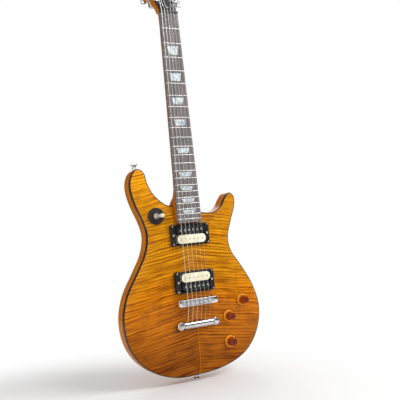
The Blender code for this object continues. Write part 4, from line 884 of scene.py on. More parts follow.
# The marks that hands and cloths leave, and the figure of wood that runs along Z
HANDLING = SharedEffect("handling_marks", (Mask("Smudges", (1.0, 1.0, 1.0), 30.0, 4.0, 0.6, 0.38, 0.68),
    Mask("Scratches", (1.0, 0.7, 0.06), 1500.0, 2.0, 0.7, 0.62, 0.74)))
GRAIN = SharedEffect("wood_grain", (Mask("Fibre", (1.0, 1.0, 0.03), 900.0, 4.0, 0.65, 0.3, 0.7),
    Mask("Bands", (1.0, 1.0, 0.10), 90.0, 3.0, 0.5, 0.3, 0.7), Mask("Pores", (1.0, 1.0, 0.09), 2600.0, 1.0,
    0.5, 0.66, 0.76)))


@dataclass(frozen=True)
class Finish:
    """The surface of a piece, made into a material when it is first used."""

    name: str
    slot: Slot

    def material(self) -> bpy.types.Material:
        """Return the material of this finish.

        Returns:
            The material.
        """
        if self not in MADE_MATERIALS:
            material = MADE_MATERIALS[self] = bpy.data.materials.new(self.name)
            material.use_nodes = True
            tree = Tree(material.node_tree)
            shader = material.node_tree.nodes["Principled BSDF"]
            for label, value in self.inputs(tree).items():
                tree.put(shader.inputs[label], value)
        return MADE_MATERIALS[self]

    def inputs(self, tree: Tree) -> Inputs:
        """Wire the finish and return what goes into the shader; each kind does it its own way."""
        raise NotImplementedError

    @staticmethod
    def worn(tree: Tree, marks: bpy.types.NodeOutputs, base: float, smudged: float,
            scratched: float) -> Socket:
        """Return a roughness with smudges and scratches on its base."""
        return tree.line(marks["Scratches"], scratched, tree.line(marks["Smudges"], smudged, base))


MADE_MATERIALS: dict[Finish, bpy.types.Material] = {}


@dataclass(frozen=True)
class FlameMaple(Finish):
    """Bookmatched flame maple under amber lacquer: stripes that climb to the centre seam."""

    period: float = 0.0066
    climb: float = 0.16
    wander: float = 0.0065
    crest: float = 1.7
    tail: float = 0.055
    shoulder: float = 0.200
    # Staining and painted shade, which darken and redden the top towards the tail: strongest along a line
    # 30 mm to the bass side of the seam, and weaker on the treble half
    stain_and_shade_middle: float = -0.030
    spread_out: float = 0.20
    treble_stain_and_shade: float = 0.78
    light: Colour = (0.73, 0.302, 0.006)
    dark: Colour = (0.20, 0.050, 0.001)
    # Tints for the staining and painted shade: darker, then redder
    stain_and_shade: Colour = (0.51, 0.45, 0.50)
    redden_and_shade: Colour = (0.98, 0.74, 0.75)
    # Painted light that brightens the upper horns, the bass horn most
    painted_horn_light: Colour = (1.32, 1.36, 1.20)

    def figure(self, tree: Tree, coords: Socket) -> Socket:
        """Return the flame's stripes, crossed by fine streaks and fibres.

        Args:
            tree: The material's tree.
            coords: The piece's coordinates.

        Returns:
            Nought in the dark of a stripe and one in its light.
        """
        x, _, z = tree.axes(coords)
        out = tree.math("ABSOLUTE", x)
        sway = tree.noise(tree.joined(out, 0.0, z), 24.0)
        swayed = tree.plus(tree.line(out, self.climb, z), tree.times(tree.minus(sway, 0.5), self.wander))
        wave = tree.line(tree.math("SINE", tree.times(swayed, 2 * math.pi / self.period)), -0.5, 0.5)
        wave = tree.minus(1.0, tree.math("POWER", wave, self.crest))
        fade = tree.spread(tree.noise(tree.joined(tree.times(out, 0.8), 0.3, z), 55.0), 0.30, 0.62, 0.15)
        streaks = tree.noise(tree.joined(tree.times(out, 9.0), 0.0, tree.times(swayed, 290.0)), 1.0, 4.0,
            0.65)
        figure = tree.plus(tree.times(tree.times(wave, fade), 0.40),
            tree.times(tree.spread(streaks, 0.37, 0.58), 0.60))
        fibre = GRAIN.outputs(tree, coords, 0.8)["Fibre"]
        return tree.line(tree.minus(fibre, 0.5), 0.14, figure)

    def inputs(self, tree: Tree) -> Inputs:
        """Wire the flame, staining and painted shade towards the tail, painted light on the upper horns,
        the seam and the lacquer.

        Args:
            tree: The nodes of the material.

        Returns:
            The value of each input that the finish sets.
        """
        coords = tree.coords()
        x, _, z = tree.axes(coords)
        colour = tree.blend(self.figure(tree, coords), self.dark, self.light)
        # Staining and painted shade: darker and redder towards the tail and along a line on the bass side
        # of the seam, weaker on the treble half
        height = tree.line(tree.math("ABSOLUTE", tree.minus(x, self.stain_and_shade_middle)), self.spread_out, z)
        height = tree.line(tree.minus(tree.noise(coords, 11.0), 0.5), 0.05, height)
        depth = tree.times(tree.spread(height, self.tail, self.shoulder, 1.0, 0.0),
            tree.spread(x, -0.0002, 0.0002, 1.0, self.treble_stain_and_shade))
        redness_and_shade = tree.spread(height, self.shoulder - 0.03, self.shoulder + 0.08, 1.0, 0.0)
        # Painted light: the upper horns are brightened, the bass horn most
        painted_horn_light = tree.spread(tree.line(x, -0.35, z), 0.40, 0.46)
        for share, tint in ((depth, self.stain_and_shade), (redness_and_shade, self.redden_and_shade), (painted_horn_light, self.painted_horn_light)):
            colour = tree.tinted(share, colour, tint)
        seam = tree.spread(tree.math("ABSOLUTE", x), 0.0002, 0.0006, 0.45, 0.0)
        return {"Base Color": tree.blend(seam, colour, self.light),
            "Roughness": self.worn(tree, HANDLING.outputs(tree, coords, 0.6), 0.34, 0.08, 0.05),
            "Specular IOR Level": 0.03, "Coat Weight": 0.15, "Coat Roughness": 0.04,
            "Normal": tree.bump(tree.noise(coords, 60.0, 1.0), 0.0003, 0.25)}


@dataclass(frozen=True)
class StainedWood(Finish):
    """Open grained wood under a clear lacquer."""

    light: Colour = (0.72, 0.235, 0.009)
    dark: Colour = (0.40, 0.100, 0.004)
    pore: Colour = (0.10, 0.026, 0.008)
    fineness: float = 1.0
    roughness: float = 0.30
    coat: float = 0.10
    pore_depth: float = 0.00006

    def inputs(self, tree: Tree) -> Inputs:
        """Wire bands, fibres and pores, and the lacquer over them.

        Args:
            tree: The nodes of the material.

        Returns:
            The value of each input that the finish sets.
        """
        coords = tree.coords()
        grain = GRAIN.outputs(tree, coords, self.fineness)
        share = tree.plus(tree.times(grain["Bands"], 0.62), tree.times(grain["Fibre"], 0.38))
        colour = tree.blend(share, self.dark, self.light)
        colour = tree.blend(tree.spread(tree.noise(coords, 9.0), 0.35, 0.7, 0.0, 0.35), colour, self.dark)
        return {"Base Color": tree.blend(tree.times(grain["Pores"], 0.8), colour, self.pore),
            "Roughness": self.worn(tree, HANDLING.outputs(tree, coords, 0.7), self.roughness, 0.10, 0.06),
            "Specular IOR Level": 0.04, "Coat Weight": self.coat, "Coat Roughness": 0.05,
            "Normal": tree.bump(tree.minus(1.0, grain["Pores"]), self.pore_depth, 0.5)}


@dataclass(frozen=True)
class Pearl(Finish):
    """Pale shell with a cloudy shimmer of blue, green and rose."""

    pale: Colour = (0.72, 0.77, 0.78)
    cool: Colour = (0.24, 0.33, 0.37)
    warm: Colour = (0.52, 0.50, 0.47)

    def inputs(self, tree: Tree) -> Inputs:
        """Wire the drifting colours of the shell.

        Args:
            tree: The nodes of the material.

        Returns:
            The value of each input that the finish sets.
        """
        coords = tree.coords()
        drift = tree.noise(tree.stretched(coords, (1.0, 1.0, 0.45)), 260.0, 3.0, 0.6)
        colour = tree.blend(tree.spread(drift, 0.35, 0.65), self.cool, self.pale)
        flecks = tree.spread(tree.noise(coords, 420.0), 0.52, 0.72, 0.0, 0.7)
        return {"Base Color": tree.blend(flecks, colour, self.warm),
            "Roughness": tree.spread(drift, 0.3, 0.7, 0.16, 0.30), "Normal": tree.bump(drift, 0.00008, 0.3),
            "Coat Weight": 0.5, "Coat Roughness": 0.08}


@dataclass(frozen=True)
class Plastic(Finish):
    """Moulded plastic that is handled: nearly even colour, soft smudges and hairlines."""

    colour: Colour = (0.012, 0.012, 0.013)
    aged: Colour = (0.020, 0.019, 0.018)
    roughness: float = 0.22
    smudged: float = 0.16
    texture: float = 0.00002

    def inputs(self, tree: Tree) -> Inputs:
        """Wire the colour's drift, the marks and the fine texture of the mould.

        Args:
            tree: The nodes of the material.

        Returns:
            The value of each input that the finish sets.
        """
        coords = tree.coords()
        drift = tree.spread(tree.noise(coords, 45.0, 3.0), 0.35, 0.65)
        marks = HANDLING.outputs(tree, coords, 1.6)
        height = tree.minus(tree.noise(coords, 1800.0), tree.times(marks["Scratches"], 0.8))
        return {"Base Color": tree.blend(drift, self.colour, self.aged),
            "Roughness": self.worn(tree, marks, self.roughness, self.smudged, 0.10),
            "Normal": tree.bump(height, self.texture, 0.4), "Specular IOR Level": 0.32}


@dataclass(frozen=True)
class AmberPlastic(Finish):
    """Clear amber plastic that deepens to red where it is thick."""

    clear: Colour = (0.95, 0.36, 0.008)
    deep: Colour = (0.36, 0.045, 0.003)
    skirt: float = 0.0285
    neck: float = 0.0365
    transmission: float = 0.20

    def inputs(self, tree: Tree) -> Inputs:
        """Wire the swirl of the amber, which darkens from the skirt to the top, and the marks on it.

        Args:
            tree: The nodes of the material.

        Returns:
            The value of each input that the finish sets.
        """
        coords = tree.coords()
        cloudy = tree.minus(tree.noise(coords, 75.0, 3.0, 0.55), 0.5)
        swirl = tree.spread(tree.line(cloudy, 0.008, tree.axes(coords)[1]), -self.neck, -self.skirt)
        return {"Base Color": tree.blend(swirl, self.deep, self.clear),
            "Roughness": self.worn(tree, HANDLING.outputs(tree, coords, 2.2), 0.07, 0.10, 0.10),
            "Transmission Weight": self.transmission, "IOR": 1.49}


@dataclass(frozen=True)
class Plating(Finish):
    """Bright plating: polished metal with fingerprints and hairline scratches."""

    colour: Colour = (0.71, 0.71, 0.73)
    dull: Colour = (0.52, 0.51, 0.50)
    roughness: float = 0.07
    smudged: float = 0.14

    def inputs(self, tree: Tree) -> Inputs:
        """Wire the tarnish and the marks.

        Args:
            tree: The nodes of the material.

        Returns:
            The value of each input that the finish sets.
        """
        marks = HANDLING.outputs(tree, tree.coords(), 2.0)
        return {"Base Color": tree.blend(tree.times(marks["Smudges"], 0.5), self.colour, self.dull),
            "Roughness": self.worn(tree, marks, self.roughness, self.smudged, 0.12),
            "Normal": tree.bump(marks["Scratches"], 0.000006, 0.5), "Metallic": 1.0}


@dataclass(frozen=True)
class Wire(Finish):
    """Drawn steel wire, plain or with a wrap round it."""

    colour: Colour = (0.84, 0.84, 0.85)
    # Colour of the drawing marks, and of the painted shade in the grooves of a wrap
    groove: Colour = (0.42, 0.41, 0.39)
    pitch: float = 0.0
    roughness: float = 0.28

    def inputs(self, tree: Tree) -> Inputs:
        """Wire the drawing marks and, where there is one, the wrap's ridges with painted shade in the
        grooves between them.

        Args:
            tree: The nodes of the material.

        Returns:
            The value of each input that the finish sets.
        """
        coords = tree.coords()
        height = tree.noise(tree.stretched(coords, (1.0, 1.0, 0.02)), 4000.0)
        shade, depth = tree.spread(height, 0.3, 0.7, 0.0, 0.5), 0.00001
        if self.pitch:
            ridge = tree.math("SINE", tree.times(tree.axes(coords)[2], 2 * math.pi / self.pitch))
            height = tree.line(ridge, 0.5, 0.5)
            # Painted shade: the grooves between the wraps are darkened towards the groove colour
            shade, depth = tree.spread(height, 0.0, 0.6, 0.9, 0.0), 0.00006
        return {"Base Color": tree.blend(shade, self.colour, self.groove),
            "Roughness": self.worn(tree, HANDLING.outputs(tree, coords, 3.0), self.roughness, 0.12, 0.05),
            "Normal": tree.bump(height, depth, 0.6), "Metallic": 1.0}


@dataclass(frozen=True)
class CoilTape(Finish):
    """Fine dark wire wound on a coil and held by tape."""

    colour: Colour = (0.030, 0.014, 0.010)
    ridge: Colour = (0.075, 0.032, 0.018)

    def inputs(self, tree: Tree) -> Inputs:
        """Wire the turns of the wire, which lie along the coil's length.

        Args:
            tree: The nodes of the material.

        Returns:
            The value of each input that the finish sets.
        """
        turns = tree.noise(tree.stretched(tree.coords(), (0.03, 1.0, 0.03)), 5000.0, 1.0)
        turns = tree.spread(turns, 0.35, 0.65)
        return {"Base Color": tree.blend(turns, self.colour, self.ridge),
            "Roughness": tree.spread(turns, 0.0, 1.0, 0.62, 0.42), "Normal": tree.bump(turns, 0.00003, 0.5)}


MAPLE = FlameMaple("flame_maple", Slot.MAPLE)
MAHOGANY = StainedWood("mahogany", Slot.MAHOGANY)
ROSEWOOD = StainedWood("rosewood", Slot.ROSEWOOD, light=(0.245, 0.222, 0.220), dark=(0.112, 0.098, 0.097),
    pore=(0.034, 0.028, 0.027), fineness=1.3, roughness=0.46, coat=0.0, pore_depth=0.00008)
SHELL = Pearl("shell_inlay", Slot.CREAM)
BLACK = Plastic("black_plastic", Slot.BLACK)
BLACK_LACQUER = Plastic("black_lacquer", Slot.BLACK, (0.006, 0.006, 0.007), (0.010, 0.010, 0.010), 0.10,
    0.10, 0.000006)
BROWN = Plastic("brown_plastic", Slot.BLACK, (0.014, 0.009, 0.008), (0.022, 0.014, 0.011), 0.34)
CREAM = Plastic("cream_plastic", Slot.CREAM, (0.86, 0.83, 0.66), (0.78, 0.72, 0.52), 0.26)
AMBER = AmberPlastic("amber_plastic", Slot.AMBER)
AMBER_CORE = Plastic("amber_core", Slot.AMBER, (0.085, 0.008, 0.002), (0.13, 0.017, 0.003), 0.16)
CHROME = Plating("chrome", Slot.CHROME)
NICKEL = Plating("nickel", Slot.NICKEL, (0.74, 0.72, 0.68), (0.52, 0.49, 0.45), 0.14)
SLUG = Plating("slug_steel", Slot.NICKEL, (0.74, 0.69, 0.58), (0.56, 0.51, 0.41), 0.45)
BRASS = Plating("brass", Slot.NICKEL, (0.72, 0.53, 0.24), (0.42, 0.30, 0.14), 0.22)
STEEL = Wire("plain_steel", Slot.STEEL)
WOUND = Wire("wound_wire", Slot.WOUND, (0.88, 0.86, 0.81), pitch=0.00034, roughness=0.24)
COIL = CoilTape("coil_winding", Slot.BLACK)


def make_piece(name: str, form: Form, finish: Finish, *replaced: str, body: str = "guitar",
        slot: Optional[Slot] = None, sharp: float = math.radians(32)) -> bpy.types.Object:
    """Turn a finished form into a piece that rides on a body.

    Args:
        name: The piece's name.
        form: Its shape, in world place; it is spent.
        finish: Its surface.
        *replaced: The solids that it stands for.
        body: The body that carries it.
        slot: The record's material slot meant for it, where that isn't the finish's own; it is not used.
        sharp: Edges whose faces turn more than this stay sharp.

    Returns:
        The piece.
    """
    mesh = form.to_mesh(name)
    mesh.materials.append(finish.material())
    mesh.shade_smooth()
    mesh.set_sharp_from_angle(angle=sharp)
    piece = bpy.data.objects.new(name, mesh)
    bpy.context.scene.collection.objects.link(piece)
    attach(piece, body)
    if replaced:
        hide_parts(*replaced)
    LOG.info("%s: %d faces on %s", name, len(mesh.polygons), body)
    return piece


# Body outline seen from the front, from the bass side of the neck round the tail to the treble side,
# measured from the middle of the bridge line. A third value marks a corner.
BODY_KNOTS = ((-0.0290, 0.2055, True), (-0.0480, 0.2125), (-0.0705, 0.2330), (-0.0835, 0.2580),
    (-0.0890, 0.2800), (-0.1020, 0.2893), (-0.1165, 0.2780), (-0.1230, 0.2525), (-0.1160, 0.2170),
    (-0.1000, 0.1760), (-0.0940, 0.1470), (-0.1020, 0.1110), (-0.1240, 0.0720), (-0.1510, 0.0250),
    (-0.1622, -0.0290), (-0.1500, -0.0850), (-0.1150, -0.1275), (-0.0600, -0.1520), (0.0000, -0.1550),
    (0.0650, -0.1478), (0.1170, -0.1255), (0.1495, -0.0860), (0.1622, -0.0330), (0.1500, 0.0190),
    (0.1230, 0.0680), (0.1035, 0.0990), (0.0987, 0.1290), (0.1090, 0.1630), (0.1225, 0.1980),
    (0.1235, 0.2190), (0.1125, 0.2285), (0.1005, 0.2180), (0.0870, 0.1985), (0.0640, 0.1875),
    (0.0290, 0.1905, True))

# Right half of the headstock outline, from the nut's corner up to the middle of the tip
HEADSTOCK_KNOTS = ((0.0213, 0.0008, True), (0.0235, 0.0130), (0.0310, 0.0300), (0.0360, 0.0620),
    (0.0398, 0.1100), (0.0412, 0.1500), (0.0345, 0.1690), (0.0000, 0.1755))

# Right half of the truss rod cover, from its edge at the nut up to its tip
ROD_COVER_KNOTS = ((0.0000, 0.0030, True), (0.0120, 0.0030, True), (0.0105, 0.0160), (0.0062, 0.0300),
    (0.0040, 0.0430), (0.0000, 0.0470))

# Places of the headstock's six posts, lowest string first
POST_PLACES = tuple([(-0.0225 - 0.0042 * row, 0.030 + 0.040 * row) for row in range(3)]
    + [(0.0225 + 0.0042 * row, 0.030 + 0.040 * row) for row in (2, 1, 0)])


@dataclass
class Body:
    """The body: the carved cap, its binding, and the back with its hollows."""

    outline_steps: int = 8
    binding_width: float = 0.0015
    carve_width: float = 0.0380
    carve_softness: float = 0.0090
    rim_rings: tuple[float, ...] = (0.0010, 0.0015, 0.0025, 0.0030)
    grid: float = 0.0045
    back_rounding: float = 0.0060
    heel_end: float = 0.0720
    heel_depth: float = 0.0420
    rout_depth: float = 0.0110
    leg_width: float = 0.0140
    post_hole: float = 0.0028
    post_hole_depth: float = 0.0158
    anchor_hole: float = 0.0043
    anchor_hole_depth: float = 0.0153
    pot_hole: float = 0.0048
    switch_hole: float = 0.0063
    control_margin: float = 0.0165
    switch_cavity: float = 0.0175
    cover_plate: float = 0.0022
    jack_line: float = -0.0330
    jack_seat: float = 0.0118
    jack_hole: float = 0.0063

    def __post_init__(self) -> None:
        """Draw the outline of the body and of the cap inside its binding."""
        self.outline = smooth_outline(BODY_KNOTS, self.outline_steps)
        self.cap_outline = inset_outline(self.outline, self.binding_width + GAP)

    def distance(self, places: np.ndarray) -> np.ndarray:
        """Return how far places on the top lie from the edge of the cap.

        Args:
            places: Rows of x and z in the bridge's frame.

        Returns:
            The distance of each place.
        """
        start = np.array(self.cap_outline)
        along = np.roll(start, -1, axis=0) - start
        offset = places[:, None, :] - start[None, :, :]
        share = np.clip((offset * along).sum(2) / (along ** 2).sum(1), 0.0, 1.0)
        return np.sqrt(((offset - share[..., None] * along) ** 2).sum(2)).min(1)

    def depth(self, places: np.ndarray) -> np.ndarray:
        """Return how far the carve falls below the flat of the top.

        Args:
            places: Rows of x and z in the bridge's frame.

        Returns:
            The depth at each place, softened where two slopes meet.
        """
        reach = np.minimum(self.distance(places) * 0.6, self.carve_softness)
        total = np.zeros(len(places))
        around = circle((0.0, 0.0), 1.0, 8)
        for step in around:
            share = np.clip(self.distance(places + reach[:, None] * step) / self.carve_width, 0.0, 1.0)
            total += TOP_RISE * (1.0 - share) ** 2
        return total / len(around)

    def cap(self) -> Form:
        """Return the cap: flat in the middle, falling ever faster towards its rim.

        Returns:
            The cap.
        """
        form = Form()
        shape = form.shape
        middle = shape.faces.new([shape.verts.new((x, 0.0, z)) for x, z in self.cap_outline])
        rim_faces: set[bmesh.types.BMFace] = set()
        for step in self.rim_rings:
            rim_faces.update(bmesh.ops.inset_region(shape, faces=[middle], thickness=step,
                use_boundary=True, use_even_offset=True)["faces"])
            middle = next(face for face in shape.faces if face not in rim_faces)
        geometry = [middle, *middle.edges, *middle.verts]
        for values, normal in zip(zip(*self.cap_outline), (Vector((1.0, 0.0, 0.0)),
                Vector((0.0, 0.0, 1.0)))):
            low, high = min(values), max(values)
            lines = math.ceil((high - low) / self.grid)
            for line in range(1, lines):
                geometry = bmesh.ops.bisect_plane(shape, geom=geometry, dist=0.000001,
                    plane_co=normal * (low + (high - low) * line / lines), plane_no=normal)["geom"]
        bmesh.ops.remove_doubles(shape, verts=shape.verts, dist=0.0003)
        places = np.array([(vert.co.x, vert.co.z) for vert in shape.verts])
        for vert, depth in zip(shape.verts, self.depth(places)):
            vert.co.y = depth
        bmesh.ops.triangulate(shape, faces=[face for face in shape.faces if len(face.verts) > 4])
        wall = bmesh.ops.extrude_edge_only(shape, edges=[edge for edge in shape.edges if edge.is_boundary])
        for item in wall["geom"]:
            if isinstance(item, bmesh.types.BMVert):
                item.co.y = CAP_BACK
        bmesh.ops.holes_fill(shape, edges=[edge for edge in shape.edges if edge.is_boundary], sides=0)
        return form.outward()

    def neck_slot(self) -> Form:
        """Return the pocket that the neck's heel is set into.

        Returns:
            The cutting tool.
        """
        front, back = -BOARD_THICKNESS, NECK_FRONT + self.heel_depth + GAP
        ends = [(z, board_width(z) / 2 + GAP) for z in (BOARD_END - 0.0005 - GAP,
            BOARD_END + self.heel_end)]
        return Form.loft([[(-half, front, z), (half, front, z), (half, back, z), (-half, back, z)] for z,
            half in ends]).placed(NECK_IN_BRIDGE)

    def hollows(self) -> list[Form]:
        """Return the pocket, the pickup routs and the bores that cap and back share.

        Returns:
            The cutting tools.
        """
        tools = [self.neck_slot()]
        for label in ("neck", "bridge"):
            low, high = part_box(f"{label}_pickup_ring")
            z = (low.z + high.z) / 2 - BRIDGE.translation.z
            floor = BACK_FRONT + self.rout_depth
            for width, height, back in ((*PICKUP_OPENING, floor), (PICKUP_LEGS + 2 * GAP, self.leg_width,
                    floor - OVERCUT)):
                tools.append(Form.block((-width / 2, -OVERCUT, z - height / 2),
                    (width / 2, back, z + height / 2)))
        for span, line, radius, floor in ((POST_SPAN, 0.0, self.post_hole, self.post_hole_depth),
                (ANCHOR_SPAN, ANCHOR_LINE, self.anchor_hole, self.anchor_hole_depth)):
            tools += [Form.bore(radius, side * span, line, -OVERCUT, floor) for side in (-0.5, 0.5)]
        return tools

    def bored_cap(self) -> Form:
        """Return the cap with its routs and bores.

        Returns:
            The cap.
        """
        holes = [(self.pot_hole, *place) for place in KNOB_PLACES.values()] + [
            (self.switch_hole, *SWITCH_PLACE)]
        tools = [Form.bore(*hole, -OVERCUT, CAP_BACK + OVERCUT) for hole in holes]
        return self.cap().boolean(Union3.CUT, *self.hollows(), *tools)

    def binding(self) -> Form:
        """Return the black band let into the edge of the cap.

        Returns:
            The band.
        """
        band = Form.band(self.outline, inset_outline(self.outline, self.binding_width), TOP_RISE, CAP_BACK)
        outer = {tuple(round(value, 5) for value in point) for point in self.outline}
        band.bevelled(0.0006, 3, lambda edge: at_front(TOP_RISE)(edge)
            and all((round(vert.co.x, 5), round(vert.co.z, 5)) in outer for vert in edge.verts))
        return band.boolean(Union3.CUT, self.neck_slot())

    def cavities(self, margin: float) -> tuple[list[Point], list[Point]]:
        """Return the outlines of the control and the switch cavity, widened by a margin."""
        return (around_places(list(KNOB_PLACES.values()), self.control_margin + margin),
            circle(SWITCH_PLACE, self.switch_cavity + margin, 64))

    def covers(self) -> list[tuple[str, Form, Form]]:
        """Return each cover's name, its plate and its screws, in the bridge's frame.

        Returns:
            The three of each cover.
        """
        knobs = [Vector(place) for place in KNOB_PLACES.values()]
        reach = self.control_margin + COVER_MARGIN * 0.35
        lobes = [place + (place - centre_of(knobs)).normalized() * reach for place in knobs]
        spots = circle(SWITCH_PLACE, self.switch_cavity + COVER_MARGIN * 0.42, 3)
        face = BACK_FACE - 0.0004
        made = []
        for name, outline, places in zip(("control_cover", "switch_cover"),
                self.cavities(COVER_MARGIN - GAP), (lobes, spots)):
            plate = Form.slab(outline, BACK_FACE - self.cover_plate, face).bevelled(0.0004, 2,
                at_back(face))
            heads = Screw(0.0023, 0.0004, slot_depth=0.0005).heads(
                [shifted(x, face, z) @ FACE_BACK for x, z in places])
            made.append((name, plate, heads))
        return made

    def back(self) -> Form:
        """Return the back with its cavities, cover recesses, pocket, routs and jack bore.

        Returns:
            The back.
        """
        form = Form.slab(self.outline, BACK_FRONT, BACK_FACE)
        form.bevelled(self.back_rounding, 6, at_back(BACK_FACE), math.radians(60))
        tools = []
        for open_way, recess in zip(self.cavities(0.0), self.cavities(COVER_MARGIN)):
            tools += [Form.slab(open_way, BACK_FRONT - OVERCUT, BACK_FACE + OVERCUT),
                Form.slab(recess, BACK_FACE - self.cover_plate - GAP, BACK_FACE + OVERCUT)]
        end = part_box("output_jack")[1].x
        for radius, start, steps in ((self.jack_hole, KNOB_PLACES["neck_volume"][0], 24),
                (self.jack_seat, end - 0.0012 - 0.0020 - GAP, 48)):
            tools.append(Form.rod(radius, (start, SIDE_MIDDLE, self.jack_line),
                (end + OVERCUT, SIDE_MIDDLE, self.jack_line), steps))
        return form.boolean(Union3.CUT, *tools, *self.hollows())

    def build(self) -> None:
        """Make the body's pieces."""
        make_piece("cap", self.bored_cap().placed(BRIDGE), MAPLE, "maple_top")
        make_piece("binding", self.binding().placed(BRIDGE), BLACK, "edge_binding")
        make_piece("body_back", self.back().placed(BRIDGE), MAHOGANY, "mahogany_back")
        for name, plate, heads in self.covers():
            make_piece(f"{name}_plate", plate.placed(BRIDGE), BLACK, name)
            make_piece(f"{name}_screws", heads.placed(BRIDGE), NICKEL)


@dataclass
class SideFittings:
    """The output jack in the treble side and the two strap buttons."""

    bore: float = 0.0032
    nut_radius: float = 0.0054
    nut_rise: float = 0.0012
    plate_radius: float = 0.0115
    plate_thickness: float = 0.0020
    barrel_radius: float = 0.0060
    barrel_length: float = 0.0240
    barrel_wall: float = 0.0020
    button_length: float = 0.0125
    button_radius: float = 0.0076
    neck_radius: float = 0.0040
    base_radius: float = 0.0062
    dish_radius: float = 0.0034
    screw_radius: float = 0.0019
    screw_length: float = 0.0140

    def jack(self) -> None:
        """Make the jack: a dished plate, a hexagonal nut and the threaded barrel behind them."""
        low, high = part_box("output_jack")
        place = shifted(high.x - self.nut_rise, BRIDGE.translation.y + SIDE_MIDDLE,
            (low.z + high.z) / 2) @ ALONG_X
        bore, nut, plate, barrel = self.bore, self.nut_radius, self.plate_radius, self.barrel_radius
        rise, seat, end = self.nut_rise, -self.plate_thickness, -self.barrel_length
        floor = end + self.barrel_wall
        dish = [(bore, 0.0), (bore + 0.0014, 0.0), (nut + 0.0006, 0.0), (plate - 0.0014, -0.0002),
            (plate - 0.0004, -0.0005), (plate, -0.0010), (plate, seat), (barrel, seat), (barrel, end),
            (0.0, end), (0.0, floor), (bore, floor), (bore, 0.0)]
        make_piece("jack_plate", Form.turned(dish, 64).placed(place), NICKEL, "output_jack")
        ring = [(bore + 0.0002, rise - 0.0002), (nut - 0.0004, rise - 0.0002), (nut, rise - 0.0006),
            (nut, -0.0002), (bore + 0.0002, -0.0002), (bore + 0.0002, rise - 0.0002)]
        make_piece("jack_nut", Form.turned(ring, 6).placed(place), NICKEL)
        sleeve = [(bore - 0.0004, rise), (bore + 0.0002, rise - 0.0002), (bore + 0.0002, floor),
            (bore - 0.0004, floor), (bore - 0.0004, rise)]
        make_piece("jack_sleeve", Form.turned(sleeve, 32).placed(place), BRASS)

    def button(self) -> Form:
        """Return a strap button that faces up the Z axis, with its screw.

        Returns:
            The button.
        """
        rim, waist, foot, screw = self.button_radius, self.neck_radius, self.base_radius, self.screw_radius
        base, dish = -self.button_length, self.dish_radius
        end = base - self.screw_length
        profile = [(0.0, -0.0005), (dish - 0.0006, -0.0004), (dish, 0.0), (rim - 0.0014, 0.0),
            (rim - 0.0004, -0.0005), (rim, -0.0014), (rim - 0.0002, -0.0024), (waist + 0.0020, -0.0040),
            (waist + 0.0004, -0.0056), (waist, -0.0074), (waist + 0.0008, -0.0092),
            (foot - 0.0003, base + 0.0012), (foot, base + 0.0008), (foot, base), (screw, base),
            (screw, end), (0.0, end)]
        cross = [Form.slit(*halves, -0.0016, 0.001) for halves in ((0.0020, 0.0003), (0.0003, 0.0020))]
        return Form.turned(profile, 56).boolean(Union3.CUT, *cross)

    def build(self) -> None:
        """Make the jack and both strap buttons."""
        self.jack()
        for name, end, turn in (("lower_strap_button", 0, math.pi), ("upper_strap_button", 1, 0.0)):
            low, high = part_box(name)
            face = shifted((low.x + high.x) / 2, (low.y + high.y) / 2, (low, high)[end].z)
            face = face @ Matrix.Rotation(turn, 4, "X")
            make_piece(f"{name}_turned", self.button().placed(face), CHROME, name)


